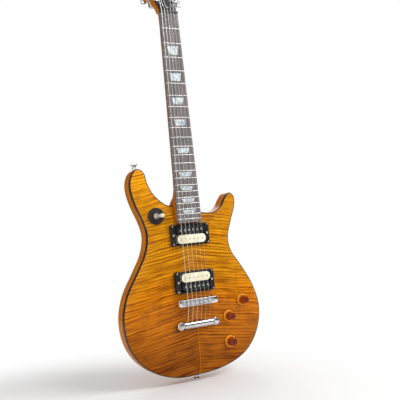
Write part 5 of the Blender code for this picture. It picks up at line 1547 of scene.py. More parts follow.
@dataclass
class Neck:
    """The neck and headstock, the fretboard with its frets and inlays, the nut and the head's trim."""

    heel_depth: float = 0.0420
    depth_at_body: float = 0.0185
    depth_at_nut: float = 0.0152
    heel_length: float = 0.0395
    facets: int = 26
    rings: int = 56
    fret_width: float = 0.0021
    fret_height: float = 0.0010
    fret_end: float = 0.0004
    inlay_frets: tuple[int, ...] = (3, 5, 7, 9, 12, 15, 17, 19, 21)
    inlay_wide: float = 0.60
    inlay_narrow: float = 0.43
    inlay_margin: float = 0.20
    dot_radius: float = 0.0011
    nut_crown: float = 0.0021
    cover_thickness: float = 0.0016
    rod_width: float = 0.0054
    rod_depth: float = 0.0096
    head_rounding: float = 0.0012

    def stations(self) -> list[tuple[float, float, float, float]]:
        """Return place, front, depth and roundness of the shaft from its heel to the headstock.

        Returns:
            The rows of four.
        """
        end, front = BOARD_END - 0.0005, NECK_FRONT
        heel, thick, thin = end + self.heel_length, self.depth_at_body, self.depth_at_nut
        return [(end, front, self.heel_depth, 0.10), (heel, front, self.heel_depth, 0.12),
            (heel + 0.0085, front, self.heel_depth - 0.0035, 0.40), (heel + 0.0195, front, thick + 0.0095,
            0.70), (heel + 0.0345, front, thick + 0.0020, 0.92), (heel + 0.0575, front, thick, 1.0),
            (NUT_BACK - 0.0336, front, thin, 1.0), (NUT_BACK - 0.0116, front, thin + 0.0004, 0.85),
            (NUT_BACK, front, thin + 0.0008, 0.50), (NUT_BACK + 0.0100, front + 0.0029, 0.0132, 0.30)]

    def between(self, place: float) -> tuple[float, float, float]:
        """Return front, depth and roundness of the shaft at any place along it.

        Args:
            place: Distance from the bridge line.

        Returns:
            The three values there.
        """
        rows = self.stations()
        for before, after in zip(rows, rows[1:]):
            if place <= after[0] + 0.0000001:
                share = max(0.0, (place - before[0]) / (after[0] - before[0]))
                if after[0] - before[0] < 0.05:
                    share = share * share * (3 - 2 * share) * 0.5 + share * 0.5
                return tuple(first + (second - first) * share for first,
                    second in zip(before[1:], after[1:]))
        return rows[-1][1:]

    def shaft(self) -> Form:
        """Return the shaft from heel to headstock, joined to the headstock's blank.

        Returns:
            The shaft.
        """
        rows = self.stations()
        places = {row[0] for row in rows}
        for step in range(self.rings):
            share = step / (self.rings - 1)
            places.add(rows[1][0] + (rows[5][0] - rows[1][0]) * share)
            if step % 4 == 0:
                places.add(rows[5][0] + (rows[-1][0] - rows[5][0]) * share)
        kept: list[float] = []
        for place in sorted(places):
            if not kept or place - kept[-1] > 0.0004:
                kept.append(place)
        rings = []
        for place in kept:
            front, depth, roundness = self.between(place)
            half = board_width(min(place, SCALE_LENGTH)) / 2
            ring = []
            for step in range(self.facets + 1):
                across_it, behind_it = on_circle(1.0, math.pi * step / self.facets)
                side = math.copysign(abs(across_it) ** roundness, across_it)
                side = 0.0 if step * 2 == self.facets else side
                sink = 0.0 if step in (0, self.facets) else behind_it ** roundness
                ring.append((half * side, front + depth * sink, place))
            rings.append(ring)
        head = Form.slab(smooth_outline(mirrored_knots(HEADSTOCK_KNOTS), 8), 0.0, HEADSTOCK_THICKNESS)
        head.bevelled(self.head_rounding, 4, at_back(HEADSTOCK_THICKNESS))
        head.placed(NECK_IN_BRIDGE.inverted() @ HEAD_IN_BRIDGE)
        half = self.rod_width / 2 + GAP
        channel = Form.block((-half, NECK_FRONT - 0.002, BOARD_END + 0.031),
            (half, NECK_FRONT + self.rod_depth, NUT_BACK + 0.0174))
        return Form.loft(rings).boolean(Union3.JOIN, head).boolean(Union3.CUT, channel)

    def section(self, z: float, width: float, top: float, bottom: float, steps: int = 14) -> list[Place]:
        """Return a ring across the playing surface: a cambered top and a flat underside."""
        places = [width * (step / steps - 0.5) for step in range(steps + 1)]
        return [(x, top + camber(x), z) for x in places] + [(width / 2, bottom, z), (-width / 2, bottom, z)]

    def board(self) -> Form:
        """Return the cambered, tapered fretboard with its long edges eased.

        Returns:
            The fretboard.
        """
        form = Form.loft([self.section(z, board_width(z), 0.0, BOARD_THICKNESS) for z in (BOARD_END,
            SCALE_LENGTH - GAP)])
        return form.bevelled(0.0005, 3, lambda edge: at_front(0.003)(edge)
            and abs(edge.verts[0].co.z - edge.verts[1].co.z) > 0.1, math.radians(50))

    def fret(self, number: int) -> Form:
        """Return one fret wire: a round crown that follows the camber, with its ends sloped.

        Args:
            number: The fret's number, counted from the nut.

        Returns:
            The wire.
        """
        z, width = fret_place(number), board_width(fret_place(number)) - 2 * self.fret_end
        rings = []
        steps = 10
        for step in range(steps + 1):
            x = width * (step / steps - 0.5)
            rise = (self.fret_height + 0.0003) * (0.35 if step in (0, steps) else 1.0)
            arch = [on_circle(1.0, math.pi * turn / 8) for turn in range(9)]
            rings.append([(x, camber(x) + 0.0003 - rise * up, z - self.fret_width / 2 * along) for along,
                up in arch])
        for end, spot, inner, step in ((0, 1, 1, 0.0009), (-1, -1, -2, -0.0009)):
            rings.insert(spot, [(x + step, full[1], along) for (x, _, along),
                full in zip(rings[end], rings[inner])])
        return Form.loft(rings)

    def inlay(self, fret: int) -> Form:
        """Return one shell inlay: a trapezoid let in between two frets, wider towards the nut.

        Args:
            fret: Number of the fret on its bridge side.

        Returns:
            The inlay.
        """
        start, end = fret_place(fret), fret_place(fret - 1)
        margin = (end - start) * self.inlay_margin
        rows = [(z, board_width(z) * share) for z, share in ((start + margin, self.inlay_narrow),
            (end - margin, self.inlay_wide))]
        front, back = -0.00005, 0.0006
        return Form.loft([[(width * share, depth + camber(width * share), z) for (z, width),
            depths in zip(rows, ((front, back), (back, front))) for depth in depths]
            for share in (step / 8 - 0.5 for step in range(9))])

    def side_dots(self) -> Form:
        """Return the dots in the bass edge of the board.

        Returns:
            The dots.
        """
        dots = Form()
        for fret in self.inlay_frets:
            for offset in (-0.004, 0.004) if fret == 12 else (0.0,):
                place = (fret_place(fret) + fret_place(fret - 1)) / 2 + offset
                edge, y = -board_width(place) / 2, BOARD_THICKNESS / 2
                dots.with_parts(Form.rod(self.dot_radius, (edge - 0.00006, y, place),
                    (edge + 0.001, y, place), 20))
        return dots

    def nut(self) -> Form:
        """Return the nut with its six slots.

        Returns:
            The nut.
        """
        form = Form.loft([self.section(z, NUT_WIDTH, -self.nut_crown, BOARD_THICKNESS)
            for z in (SCALE_LENGTH, NUT_BACK - GAP)])
        form.bevelled(0.0005, 3, at_front(0.001), math.radians(50))
        slots = []
        start, end = SCALE_LENGTH - 0.001, NUT_BACK + 0.001
        for index, diameter in enumerate(STRING_DIAMETERS):
            x = across(index, NUT_SPACING)
            y, half = camber(x) - NUT_STRING_HEIGHT - diameter / 2, diameter / 2 + GAP / 2
            slots += [Form.rod(half, (x, y, start), (x, y, end), 16),
                Form.block((x - half, y - 0.004, start), (x + half, y, end))]
        return form.boolean(Union3.CUT, *slots)

    def facing(self) -> Form:
        """Return the black facing on the front of the headstock."""
        form = Form.slab(smooth_outline(mirrored_knots(HEADSTOCK_KNOTS), 8), -FACING_FRONT, -GAP)
        return form.bevelled(0.0004, 2, at_front(-FACING_FRONT))

    def rod_cover(self) -> tuple[Form, Form]:
        """Return the bell shaped cover of the truss rod and its two screws.

        Returns:
            The cover and the screws.
        """
        front = -FACING_FRONT - GAP - self.cover_thickness
        plate = Form.slab(smooth_outline(mirrored_knots(ROD_COVER_KNOTS), 8), front, -FACING_FRONT - GAP)
        plate.bevelled(0.0006, 3, at_front(front))
        screw = Screw(0.0016, 0.0008, slot_width=0.0004)
        return plate, screw.heads([shifted(0.0, front, z) @ FACE_FRONT for z in (0.0075, 0.0420)])

    def build(self) -> None:
        """Make the neck's pieces."""
        make_piece("neck_shaft", self.shaft().placed(NECK), MAHOGANY, "neck", sharp=math.radians(40))
        make_piece("board", self.board().placed(NECK), ROSEWOOD, "fretboard")
        frets = Form().with_parts(*(self.fret(number) for number in range(1, FRET_COUNT + 1)))
        make_piece("frets", frets.placed(NECK), NICKEL)
        inlays = Form().with_parts(*(self.inlay(fret) for fret in self.inlay_frets))
        make_piece("inlays", inlays.placed(NECK), SHELL)
        make_piece("side_dots", self.side_dots().placed(NECK), CREAM)
        make_piece("string_nut", self.nut().placed(NECK), BLACK, "nut")
        make_piece("head_facing", self.facing().placed(HEAD), BLACK_LACQUER, "headstock_facing")
        plate, heads = self.rod_cover()
        make_piece("rod_cover", plate.placed(HEAD), BLACK, "truss_rod_cover")
        make_piece("rod_cover_screws", heads.placed(HEAD), NICKEL)


@dataclass
class Pickup:
    """One pickup: its ring on the top and the two coils that hang in it."""

    label: str
    screw_side: float
    pole_spacing: float
    ring_thickness: float
    ring_length: float = 0.0900
    ring_height: float = 0.0455
    ring_corner: float = 0.0030
    ring_edge: float = 0.0012
    bobbin_length: float = 0.0668
    bobbin_height: float = 0.0184
    bobbin_corner: float = 0.0086
    bobbin_depth: float = 0.0120
    flange: float = 0.0016
    winding_inset: float = 0.0014
    pole_radius: float = 0.0024
    pole_rise: float = 0.0005
    spacer_depth: float = 0.0030
    plate: float = 0.0012
    leg_drop: float = 0.0035
    leg_width: float = 0.0120

    def __post_init__(self) -> None:
        """Find the pickup's line and the front of its coils from its solids."""
        low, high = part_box(f"{self.label}_pickup_ring")
        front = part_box(f"{self.label}_pickup_slug_coil")[0].y + self.pole_rise - BRIDGE.translation.y
        self.ring_place = BRIDGE @ shifted(z=(low.z + high.z) / 2 - BRIDGE.translation.z)
        self.coil_place = self.ring_place @ shifted(y=front)

    def ring(self) -> Form:
        """Return the ring with its outer corners, its front edge and its opening rounded.

        Returns:
            The ring.
        """
        face = -GAP - self.ring_thickness
        half_x, half_z = (size / 2 for size in PICKUP_OPENING)
        form = Form.band(rounded_rectangle(self.ring_length / 2, self.ring_height / 2, self.ring_corner),
            rounded_rectangle(half_x, half_z, 0.0012), face, -GAP)

        def rim(outer: bool) -> EdgeTest:
            """Return a test for the front edges round the ring or round its opening.

            Args:
                outer: Whether the edges lie round the ring.

            Returns:
                The test.
            """
            return lambda edge: at_front(face)(edge) and all((max(abs(vert.co.x) - half_x,
                abs(vert.co.z) - half_z) > NEAR) is outer for vert in edge.verts)

        return form.bevelled(self.ring_edge, 4, rim(True)).bevelled(0.0004, 2, rim(False))

    def ring_screws(self) -> Form:
        """Return the four screws in the corners and the two that set the pickup's height.

        Returns:
            The screws.
        """
        face = -GAP - self.ring_thickness
        corners = [facing(side_x * 0.0412, face, side_z * 0.0190, self.ring_place) for side_x in (-1, 1)
            for side_z in (-1, 1)]
        middles = [facing(side * 0.0398, face, 0.0, self.ring_place) for side in (-1, 1)]
        large = Screw(0.0022, 0.0012, Drive.SLOTTED, slot_depth=0.0007).heads(middles)
        return Screw(0.0016, 0.0009, slot_width=0.0004).heads(corners).with_parts(large)

    def coil_outline(self, middle: float, inset: float) -> list[Point]:
        """Return the outline of a coil, drawn in by an inset."""
        return rounded_rectangle(self.bobbin_length / 2 - inset, self.bobbin_height / 2 - inset,
            self.bobbin_corner - inset, 14, middle)

    def bobbin(self, middle: float) -> Form:
        """Return one bobbin: the front and back flanges that the wire is wound between.

        Args:
            middle: Height of its middle line.

        Returns:
            Both flanges.
        """
        outline = self.coil_outline(middle, 0.0)
        front = Form.slab(outline, 0.0, self.flange).bevelled(0.0004, 3, at_front(0.0))
        return front.with_parts(Form.slab(outline, self.bobbin_depth - self.flange, self.bobbin_depth))

    def winding(self, middle: float) -> Form:
        """Return the wire and tape between the flanges."""
        return Form.slab(self.coil_outline(middle, self.winding_inset), self.flange - 0.0002,
            self.bobbin_depth - self.flange + 0.0002)

    def poles(self, middle: float, slotted: bool) -> Form:
        """Return six pole pieces: slotted screws in one coil and plain slugs in the other.

        Args:
            middle: Height of the coil's middle line.
            slotted: Whether they are screws.

        Returns:
            The six pieces.
        """
        places = [across(index, self.pole_spacing) for index in range(STRING_COUNT)]
        if slotted:
            screw = Screw(self.pole_radius, self.pole_rise, Drive.SLOTTED, slot_width=0.0007, steps=28)
            return screw.heads([shifted(x, 0.0, middle) @ FACE_FRONT for x in places])
        return Form().with_parts(*(Form.rod(self.pole_radius, (x, -0.0003, middle),
            (x, self.flange, middle), 28, 0.0003) for x in places))

    def frame(self, side: float) -> tuple[Form, Form]:
        """Return the plate under the coils with its bent legs, and the spacer under one coil.

        Args:
            side: Side of the coil with the spacer: 1 towards the neck, -1 away from it.

        Returns:
            The plate and the spacer.
        """
        half_x, half_z = self.bobbin_length / 2, self.bobbin_height + GAP / 2
        front = self.bobbin_depth + self.spacer_depth
        back = front + self.plate
        foot, reach = back + self.leg_drop, PICKUP_LEGS / 2
        knee, hip, sole = half_x - 2 * self.plate, half_x - self.plate, foot - self.plate
        under = [(knee, back), (knee, foot), (reach, foot)]
        over = [(reach, sole), (hip, sole), (hip, back - self.plate / 2)]
        rows = [(-x, y) for x, y in reversed(under)] + under + over + [(-x, y) for x, y in reversed(over)]
        legs = Form.loft([[(x, y, z) for x, y in rows] for z in (-self.leg_width / 2, self.leg_width / 2)])
        plate = Form.block((-half_x, front, -half_z), (half_x, back, half_z), 0.0003, 2)
        inset = 2 * self.winding_inset
        low, high = sorted((side * (GAP / 2 + inset), side * (half_z - inset)))
        spacer = Form.block((-half_x * 0.9, self.bobbin_depth, low), (half_x * 0.9, front, high), 0.0002, 2)
        return plate.with_parts(legs), spacer

    def build(self) -> None:
        """Make the pickup's pieces."""
        body, place = f"{self.label}_pickup", self.coil_place
        make_piece(f"{body}_frame", self.ring().placed(self.ring_place), BLACK, f"{body}_ring")
        make_piece(f"{body}_ring_screws", self.ring_screws(), NICKEL)
        for kind, side, finish, metal in (("screw", self.screw_side, BLACK, NICKEL),
                ("slug", -self.screw_side, CREAM, SLUG)):
            middle = side * (self.bobbin_height / 2 + GAP / 2)
            make_piece(f"{body}_{kind}_bobbin", self.bobbin(middle).placed(place), finish,
                f"{body}_{kind}_coil", body=body)
            make_piece(f"{body}_{kind}_winding", self.winding(middle).placed(place), COIL, body=body)
            make_piece(f"{body}_{kind}_poles", self.poles(middle, kind == "screw").placed(place), metal,
                body=body)
        plate, spacer = self.frame(self.screw_side)
        make_piece(f"{body}_plate", plate.placed(place), NICKEL, body=body)
        make_piece(f"{body}_spacer", spacer.placed(place), MAHOGANY, body=body, slot=Slot.BLACK)


@dataclass
class Bridge:
    """The bridge bar with its six saddles and their screws, and the two posts with their wheels."""

    length: float = 0.0920
    depth: float = 0.0140
    corner: float = 0.0045
    top: float = 0.0172
    bottom: float = 0.0095
    channel_length: float = 0.0592
    channel_depth: float = 0.0110
    floor: float = 0.0135
    stud_radius: float = 0.0025
    stud_top: float = 0.0182
    stud_sink: float = 0.0140
    wheel_radius: float = 0.0080
    wheel_top: float = 0.0092
    wheel_thickness: float = 0.0025
    wheel_notches: int = 40
    saddle_width: float = 0.0060
    saddle_length: float = 0.0044
    shoulder: float = 0.0013
    setbacks: tuple[float, ...] = (-0.0016, -0.0010, -0.0004, -0.0012, -0.0006, 0.0)
    screw_height: float = 0.0155
    screw_radius: float = 0.0009

    def bar(self) -> Form:
        """Return the bar with its channel and its two post holes.

        Returns:
            The bar.
        """
        outline = rounded_rectangle(self.length / 2, self.depth / 2, self.corner)
        form = Form.slab(outline, -self.top, -self.bottom).bevelled(0.0011, 4, at_front(-self.top))
        half_x, half_z, front = self.channel_length / 2, self.channel_depth / 2, -self.top - OVERCUT
        holes = [Form.bore(self.stud_radius + GAP, side * POST_SPAN, 0.0, front, OVERCUT - self.bottom)
            for side in (-0.5, 0.5)]
        channel = Form.block((-half_x, front, -half_z), (half_x, -self.floor, half_z))
        return form.boolean(Union3.CUT, channel, *holes)

    def saddle(self, index: int) -> Form:
        """Return one saddle, with sloping shoulders, a groove for its string and a bore for its screw.

        Args:
            index: The string that it carries, lowest first.

        Returns:
            The saddle.
        """
        x, y, _ = crossing(index, BRIDGE_SPACING, BRIDGE_STRING_HEIGHT)
        half_x, length, middle = self.saddle_width / 2, self.saddle_length, self.setbacks[index]
        form = Form.block((x - half_x, y, middle - length / 2), (x + half_x, -self.floor - GAP,
            middle + length / 2))
        form.bevelled(self.shoulder, 1, lambda edge: at_front(y)(edge)
            and abs(edge.verts[0].co.x - edge.verts[1].co.x) > GAP).bevelled(0.0002, 2)
        tools = [Form.rod(radius, (x, depth, middle - length), (x, depth, middle + length), 20) for radius,
            depth in ((STRING_DIAMETERS[index] / 2 + 0.0002, y), (self.screw_radius + GAP,
            -self.screw_height))]
        return form.boolean(Union3.CUT, *tools)

    def screws(self) -> Form:
        """Return the six screws that set the saddles, with their heads towards the neck.

        Returns:
            The screws.
        """
        places, end = [(across(index, BRIDGE_SPACING), -self.screw_height)
            for index in range(6)], self.depth / 2
        heads = Screw(0.0017, 0.0011, Drive.SLOTTED).heads([shifted(*place, end) for place in places])
        return heads.with_parts(*(Form.rod(self.screw_radius, (*place, 0.0006 - end),
            (*place, end - 0.0002), 16) for place in places))

    def post(self) -> Form:
        """Return one post: a slotted stud with its notched wheel, along the Z axis.

        Returns:
            The post.
        """
        radius, top = self.stud_radius, self.stud_top
        stud = Form.turned([(0.0, top), (radius - 0.0004, top), (radius, top - 0.0004),
            (radius, -self.stud_sink), (0.0, -self.stud_sink)], 32)
        outline = notched_ring(self.wheel_radius, self.wheel_notches, (0.0, 0.55, 0.68, 0.87))
        wheel = Form.slab(outline, -self.wheel_top, -self.wheel_top + self.wheel_thickness)
        slot = Form.slit(0.004, 0.0004, top - 0.0009, top + OVERCUT)
        return stud.boolean(Union3.CUT, slot).boolean(Union3.JOIN, wheel.placed(FACE_FRONT.inverted()))

    def build(self) -> None:
        """Make the bridge's pieces."""
        make_piece("bridge_bar", self.bar().placed(BRIDGE), CHROME, "bridge_body", body="bridge")
        make_piece("intonation_screws", self.screws().placed(BRIDGE), NICKEL, body="bridge")
        for index, name in enumerate(STRING_NAMES):
            make_piece(f"{name}_saddle_block", self.saddle(index).placed(BRIDGE), CHROME, f"{name}_saddle",
                body=f"saddle_{name}", slot=Slot.NICKEL)
        for label, side in (("bass", -0.5), ("treble", 0.5)):
            make_piece(f"{label}_post_and_wheel", self.post().placed(facing(side * POST_SPAN, 0.0, 0.0)),
                CHROME, f"{label}_bridge_post", body=f"{label}_post")


@dataclass
class Tailpiece:
    """The stop tailpiece on its two anchors, and the ball ends of the strings in it."""

    bar_length: float = 0.0680
    bottom: float = 0.0050
    top: float = 0.0135
    ear_radius: float = 0.0085
    ear_top: float = 0.0095
    head_radius: float = 0.0060
    anchor_radius: float = 0.0040
    anchor_sink: float = 0.0150
    bore_radius: float = 0.0014
    pocket_radius: float = 0.0022
    pocket_depth: float = 0.0030

    def bar(self) -> Form:
        """Return the half round bar with an ear at each end and a bore for each string.

        Returns:
            The bar.
        """
        depth, half, bottom = TAILPIECE_DEPTH, TAILPIECE_DEPTH / 2, self.bottom
        shoulder = bottom + 0.35 * (self.top - bottom)
        arch = [on_circle(1.0, math.pi * step / 24) for step in range(25)]
        section = [(-bottom, half - 0.0008), *((-shoulder - (self.top - shoulder) * up, half * along)
            for along, up in arch), (-bottom, 0.0008 - half)]
        bar = Form.loft([[(x, y, z) for y, z in section] for x in (-self.bar_length / 2,
            self.bar_length / 2)])
        radius, top = self.ear_radius, self.ear_top
        ear = [(0.0, top), (radius - 0.0016, top), (radius - 0.0009, top - 0.0002),
            (radius - 0.0003, top - 0.0007), (radius, top - 0.0015), (radius, bottom + 0.0008),
            (radius - 0.0004, bottom + 0.0004), (0.0, bottom + 0.0004)]
        ears = [Form.turned(ear, 56).placed(shifted(side * ANCHOR_SPAN) @ FACE_FRONT) for side in (-0.5,
            0.5)]
        tools = []
        for index in range(STRING_COUNT):
            x, y = across(index, BRIDGE_SPACING), -TAILPIECE_BORE
            tools += [Form.rod(wide, (x, y, -depth), (x, y, end)) for wide,
                end in ((self.bore_radius, depth), (self.pocket_radius, self.pocket_depth - half))]
        return bar.boolean(Union3.JOIN, *ears).boolean(Union3.CUT, *tools)

    def anchor(self) -> Form:
        """Return an anchor: a slotted head on the ear and the stud below it.

        Returns:
            The anchor.
        """
        radius, top, seat = self.head_radius, self.top, self.ear_top
        profile = [(0.0, top), (radius - 0.0014, top), (radius - 0.0005, top - 0.0003),
            (radius, top - 0.0011), (radius, seat + 0.0004), (radius - 0.0004, seat),
            (self.anchor_radius, seat), (self.anchor_radius, -self.anchor_sink), (0.0, -self.anchor_sink)]
        slot = Form.slit(0.008, 0.0007, top - 0.0014, top + OVERCUT)
        return Form.turned(profile, 48).boolean(Union3.CUT, slot)

    def build(self) -> None:
        """Make the tailpiece's pieces."""
        place = BRIDGE @ shifted(z=ANCHOR_LINE)
        make_piece("tailpiece_bar", self.bar().placed(place), CHROME, "stop_tailpiece")
        anchors = self.anchor().repeated([facing(side * ANCHOR_SPAN, 0.0, 0.0, place)
            @ Matrix.Rotation(math.radians(turn), 4, "Z") for side, turn in ((-0.5, 18), (0.5, -31))])
        make_piece("tailpiece_anchors", anchors, CHROME)
        y, z = -TAILPIECE_BORE, self.pocket_depth - TAILPIECE_DEPTH / 2 - 0.0018
        balls = Form().with_parts(*(Form.rod(0.0016, (x - 0.0014, y, z), (x + 0.0014, y, z), 24, 0.0004)
            for x in (across(index, BRIDGE_SPACING) for index in range(STRING_COUNT))))
        make_piece("ball_ends", balls.placed(place), BRASS)


@dataclass
class Tuner:
    """One machine head: housing, bush and nut, string post and key."""

    index: int
    post_height: float = 0.0165
    housing_width: float = 0.0165
    housing_length: float = 0.0215
    housing_depth: float = 0.0115
    housing_rounding: float = 0.0026
    worm_offset: float = 0.0072
    shaft_radius: float = 0.0020
    boss_wall: float = 0.0018
    boss_inset: float = 0.0005
    collar: float = 0.0012
    key_reach: float = 0.0030
    button_length: float = 0.0135
    button_height: float = 0.0175
    button_thickness: float = 0.0075
    bush_radius: float = 0.0050
    nut_radius: float = 0.0072
    nut_height: float = 0.0022

    def __post_init__(self) -> None:
        """Find the tuner's place, its side and how far its key stands out."""
        self.name = STRING_NAMES[self.index]
        x, z = POST_PLACES[self.index]
        self.side = math.copysign(1.0, x)
        self.place = HEAD @ shifted(x, 0.0, z)
        low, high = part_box(f"{self.name}_tuner_key")
        self.reach = (high.x if x > 0 else -low.x) - abs(x) - self.button_length
        self.back = HEADSTOCK_THICKNESS + GAP
        self.key_line = Vector((0.0, self.back + self.housing_depth / 2, self.worm_offset))
        self.nut_front = FACING_FRONT + GAP + self.nut_height
        self.housing_low = self.worm_offset * 0.35 - self.housing_length / 2

    def along(self, offset: float) -> Vector:
        """Return the place on the key's line that lies so far out from the post."""
        return self.key_line + Vector((self.side * offset, 0.0, 0.0))

    def housing(self) -> Form:
        """Return the closed housing with the boss that the key turns in and the tab of its screw.

        Returns:
            The housing.
        """
        half, low, back = self.housing_width / 2, self.housing_low, self.back
        shell = Form.block((-half, back, low), (half, back + self.housing_depth, low + self.housing_length),
            self.housing_rounding, 5)
        end = self.reach - self.key_reach - self.boss_inset
        boss = Form.rod(self.shaft_radius + self.boss_wall, self.along(half - 0.003), self.along(end), 36,
            0.0005)
        tab = Form.rod(0.0027, (0.0, back - 0.0002, low - 0.0004), (0.0, back + 0.0012, low - 0.0004), 28)
        bore = Form.rod(self.shaft_radius + GAP, self.along(end - 0.005), self.along(end + 0.001))
        return shell.boolean(Union3.JOIN, boss, tab).boolean(Union3.CUT, bore)

    def bush(self) -> Form:
        """Return the threaded bush with its washer and hexagonal nut, along the Z axis.

        Returns:
            The bush.
        """
        seat, inner, front = FACING_FRONT + 0.00002, TUNER_POST + GAP, self.nut_front
        bush, nut, top = self.bush_radius, self.nut_radius, self.nut_front - GAP
        tube = [(inner, front), (bush - 0.0004, front), (bush, front - 0.0004), (bush, -self.back),
            (inner, -self.back), (inner, front)]
        washer = [(inner, seat + 0.0005), (nut - 0.0002, seat + 0.0005), (nut + 0.0001, seat + 0.0003),
            (nut + 0.0001, seat), (inner, seat), (inner, seat + 0.0005)]
        cone = [(inner, top), (nut * 0.86, top), (nut, top - 0.0005), (nut, seat + 0.0004),
            (inner, seat + 0.0004), (inner, top)]
        return Form.turned(tube, 40).with_parts(Form.turned(washer), Form.turned(cone, 6))

    def post(self) -> Form:
        """Return the string post: waisted where the string winds, with a hole through its head.

        Returns:
            The post.
        """
        radius, waist, top, front = TUNER_POST, TUNER_POST - GAP, self.post_height, self.nut_front
        end, eye = 0.0020 - self.back - self.housing_depth, top - 0.0027
        profile = [(0.0, top), (radius * 0.70, top), (radius * 0.90, top - 0.0003), (radius, top - 0.0009),
            (radius, WINDING_TOP + 0.0024), (radius - 0.0001, WINDING_TOP + 0.0018),
            (waist, WINDING_TOP + 0.0012), (waist, front + 0.0012), (radius - 0.0001, front + 0.0007),
            (radius, front + 0.0002), (radius, end), (0.0, end)]
        tools = [Form.rod(0.0010, (-0.005, 0.0, eye), (0.005, 0.0, eye)),
            Form.slit(0.005, 0.0007, top - 0.0006, top + OVERCUT)]
        return Form.turned(profile, 36).boolean(Union3.CUT, *tools)

    def key(self) -> Form:
        """Return the key: a cushioned button on a collared shaft.

        Returns:
            The key.
        """
        half_y, half_z = self.button_thickness / 2, self.button_height / 2
        grip = Form.block((self.reach, -half_y, -half_z), (self.reach + self.button_length, half_y, half_z),
            0.0034, 7)

        def cushioned(place: Vector) -> Vector:
            """Swell the button away from its shaft and hollow its two faces a little.

            Args:
                place: A vertex of the plain button.

            Returns:
                Its new place.
            """
            share = (place.x - self.reach) / self.button_length
            width = 0.78 + 0.22 * math.sin(math.pi * min(0.5, share * 0.85))
            return Vector((place.x, place.y * (0.74 + 0.26 * share), place.z * width))

        grip.bent(cushioned).placed(Matrix.Diagonal((self.side, 1.0, 1.0, 1.0))).outward()
        grip.placed(shifted(*self.key_line))
        end = self.reach - self.key_reach - self.boss_inset + GAP
        shaft = Form.rod(self.shaft_radius, self.along(self.housing_width / 2 - 0.003),
            self.along(self.reach + 0.002), 28)
        collar = Form.rod(self.shaft_radius + self.collar, self.along(end), self.along(self.reach + 0.0012),
            36, 0.0004)
        return grip.boolean(Union3.JOIN, shaft, collar)

    def build(self) -> None:
        """Make the tuner's pieces."""
        name, front = self.name, self.place @ FACE_FRONT
        make_piece(f"{name}_housing", self.housing().placed(self.place), CHROME, f"{name}_tuner_housing")
        make_piece(f"{name}_bush", self.bush().placed(front), CHROME)
        head = Screw(0.0014, 0.0007, slot_width=0.0004, slot_depth=0.0004).head()
        head.placed(self.place @ shifted(0.0, self.back + 0.0012, self.housing_low - 0.0011) @ FACE_BACK)
        make_piece(f"{name}_housing_screw", head, NICKEL)
        make_piece(f"{name}_post", self.post().placed(front), CHROME, f"{name}_tuner_post",
            body=f"post_{name}")
        make_piece(f"{name}_key", self.key().placed(self.place), CHROME, f"{name}_tuner_key",
            body=f"key_{name}")


@dataclass
class Strings:
    """The six strings, from their ball ends over bridge and nut and round their posts."""

    level: float = 0.0058
    turns: int = 2
    turn_points: int = 24
    turn_gap: float = 0.00045

    def path(self, index: int) -> list[Vector]:
        """Return the places that a string runs through, in the bridge's frame.

        Args:
            index: Which string, with the lowest first.

        Returns:
            The places from its ball end to its tail on the post.
        """
        diameter = STRING_DIAMETERS[index]
        witness = crossing(index, BRIDGE_SPACING, BRIDGE_STRING_HEIGHT)
        at_nut = crossing(index, NUT_SPACING, NUT_STRING_HEIGHT)
        over_nut, past_nut = (NECK_IN_BRIDGE @ (at_nut + Vector((0.0, 0.0, z)))
            for z in (SCALE_LENGTH + 0.0005, NUT_BACK))
        half = TAILPIECE_DEPTH / 2
        points = [Vector((witness.x, -TAILPIECE_BORE, z)) for z in (ANCHOR_LINE - half + 0.0014,
            ANCHOR_LINE + half)]
        points += [witness + (witness - over_nut) * (self.level / SCALE_LENGTH), over_nut, past_nut]
        start = HEAD_IN_BRIDGE.inverted() @ past_nut
        post = POST_PLACES[index]
        radius = TUNER_POST + GAP + diameter / 2
        to_post = Vector(post) - start.xz
        side = 1.0 if post[0] < 0 else -1.0
        first = (math.atan2(to_post.y, to_post.x) - side * math.asin(radius / to_post.length)
            - side * math.pi / 2)
        for step in range(self.turns * self.turn_points + 1):
            x, z = on_circle(radius, first + side * 2 * math.pi * step / self.turn_points, *post)
            depth = -WINDING_TOP + (diameter + self.turn_gap) * step / self.turn_points
            points.append(HEAD_IN_BRIDGE @ Vector((x, depth, z)))
        points.append(points[-1] + (points[-1] - points[-2]).normalized() * diameter)
        return points

    def build(self) -> None:
        """Make the strings: wound wire for the low ones and plain wire for the high ones."""
        for index, name in enumerate(STRING_NAMES):
            form = Form.pipe([BRIDGE @ place for place in self.path(index)], STRING_DIAMETERS[index] / 2,
                12)
            make_piece(f"{name}_wire", form, WOUND if index < WOUND_STRINGS else STEEL, f"{name}_string",
                sharp=math.radians(60))


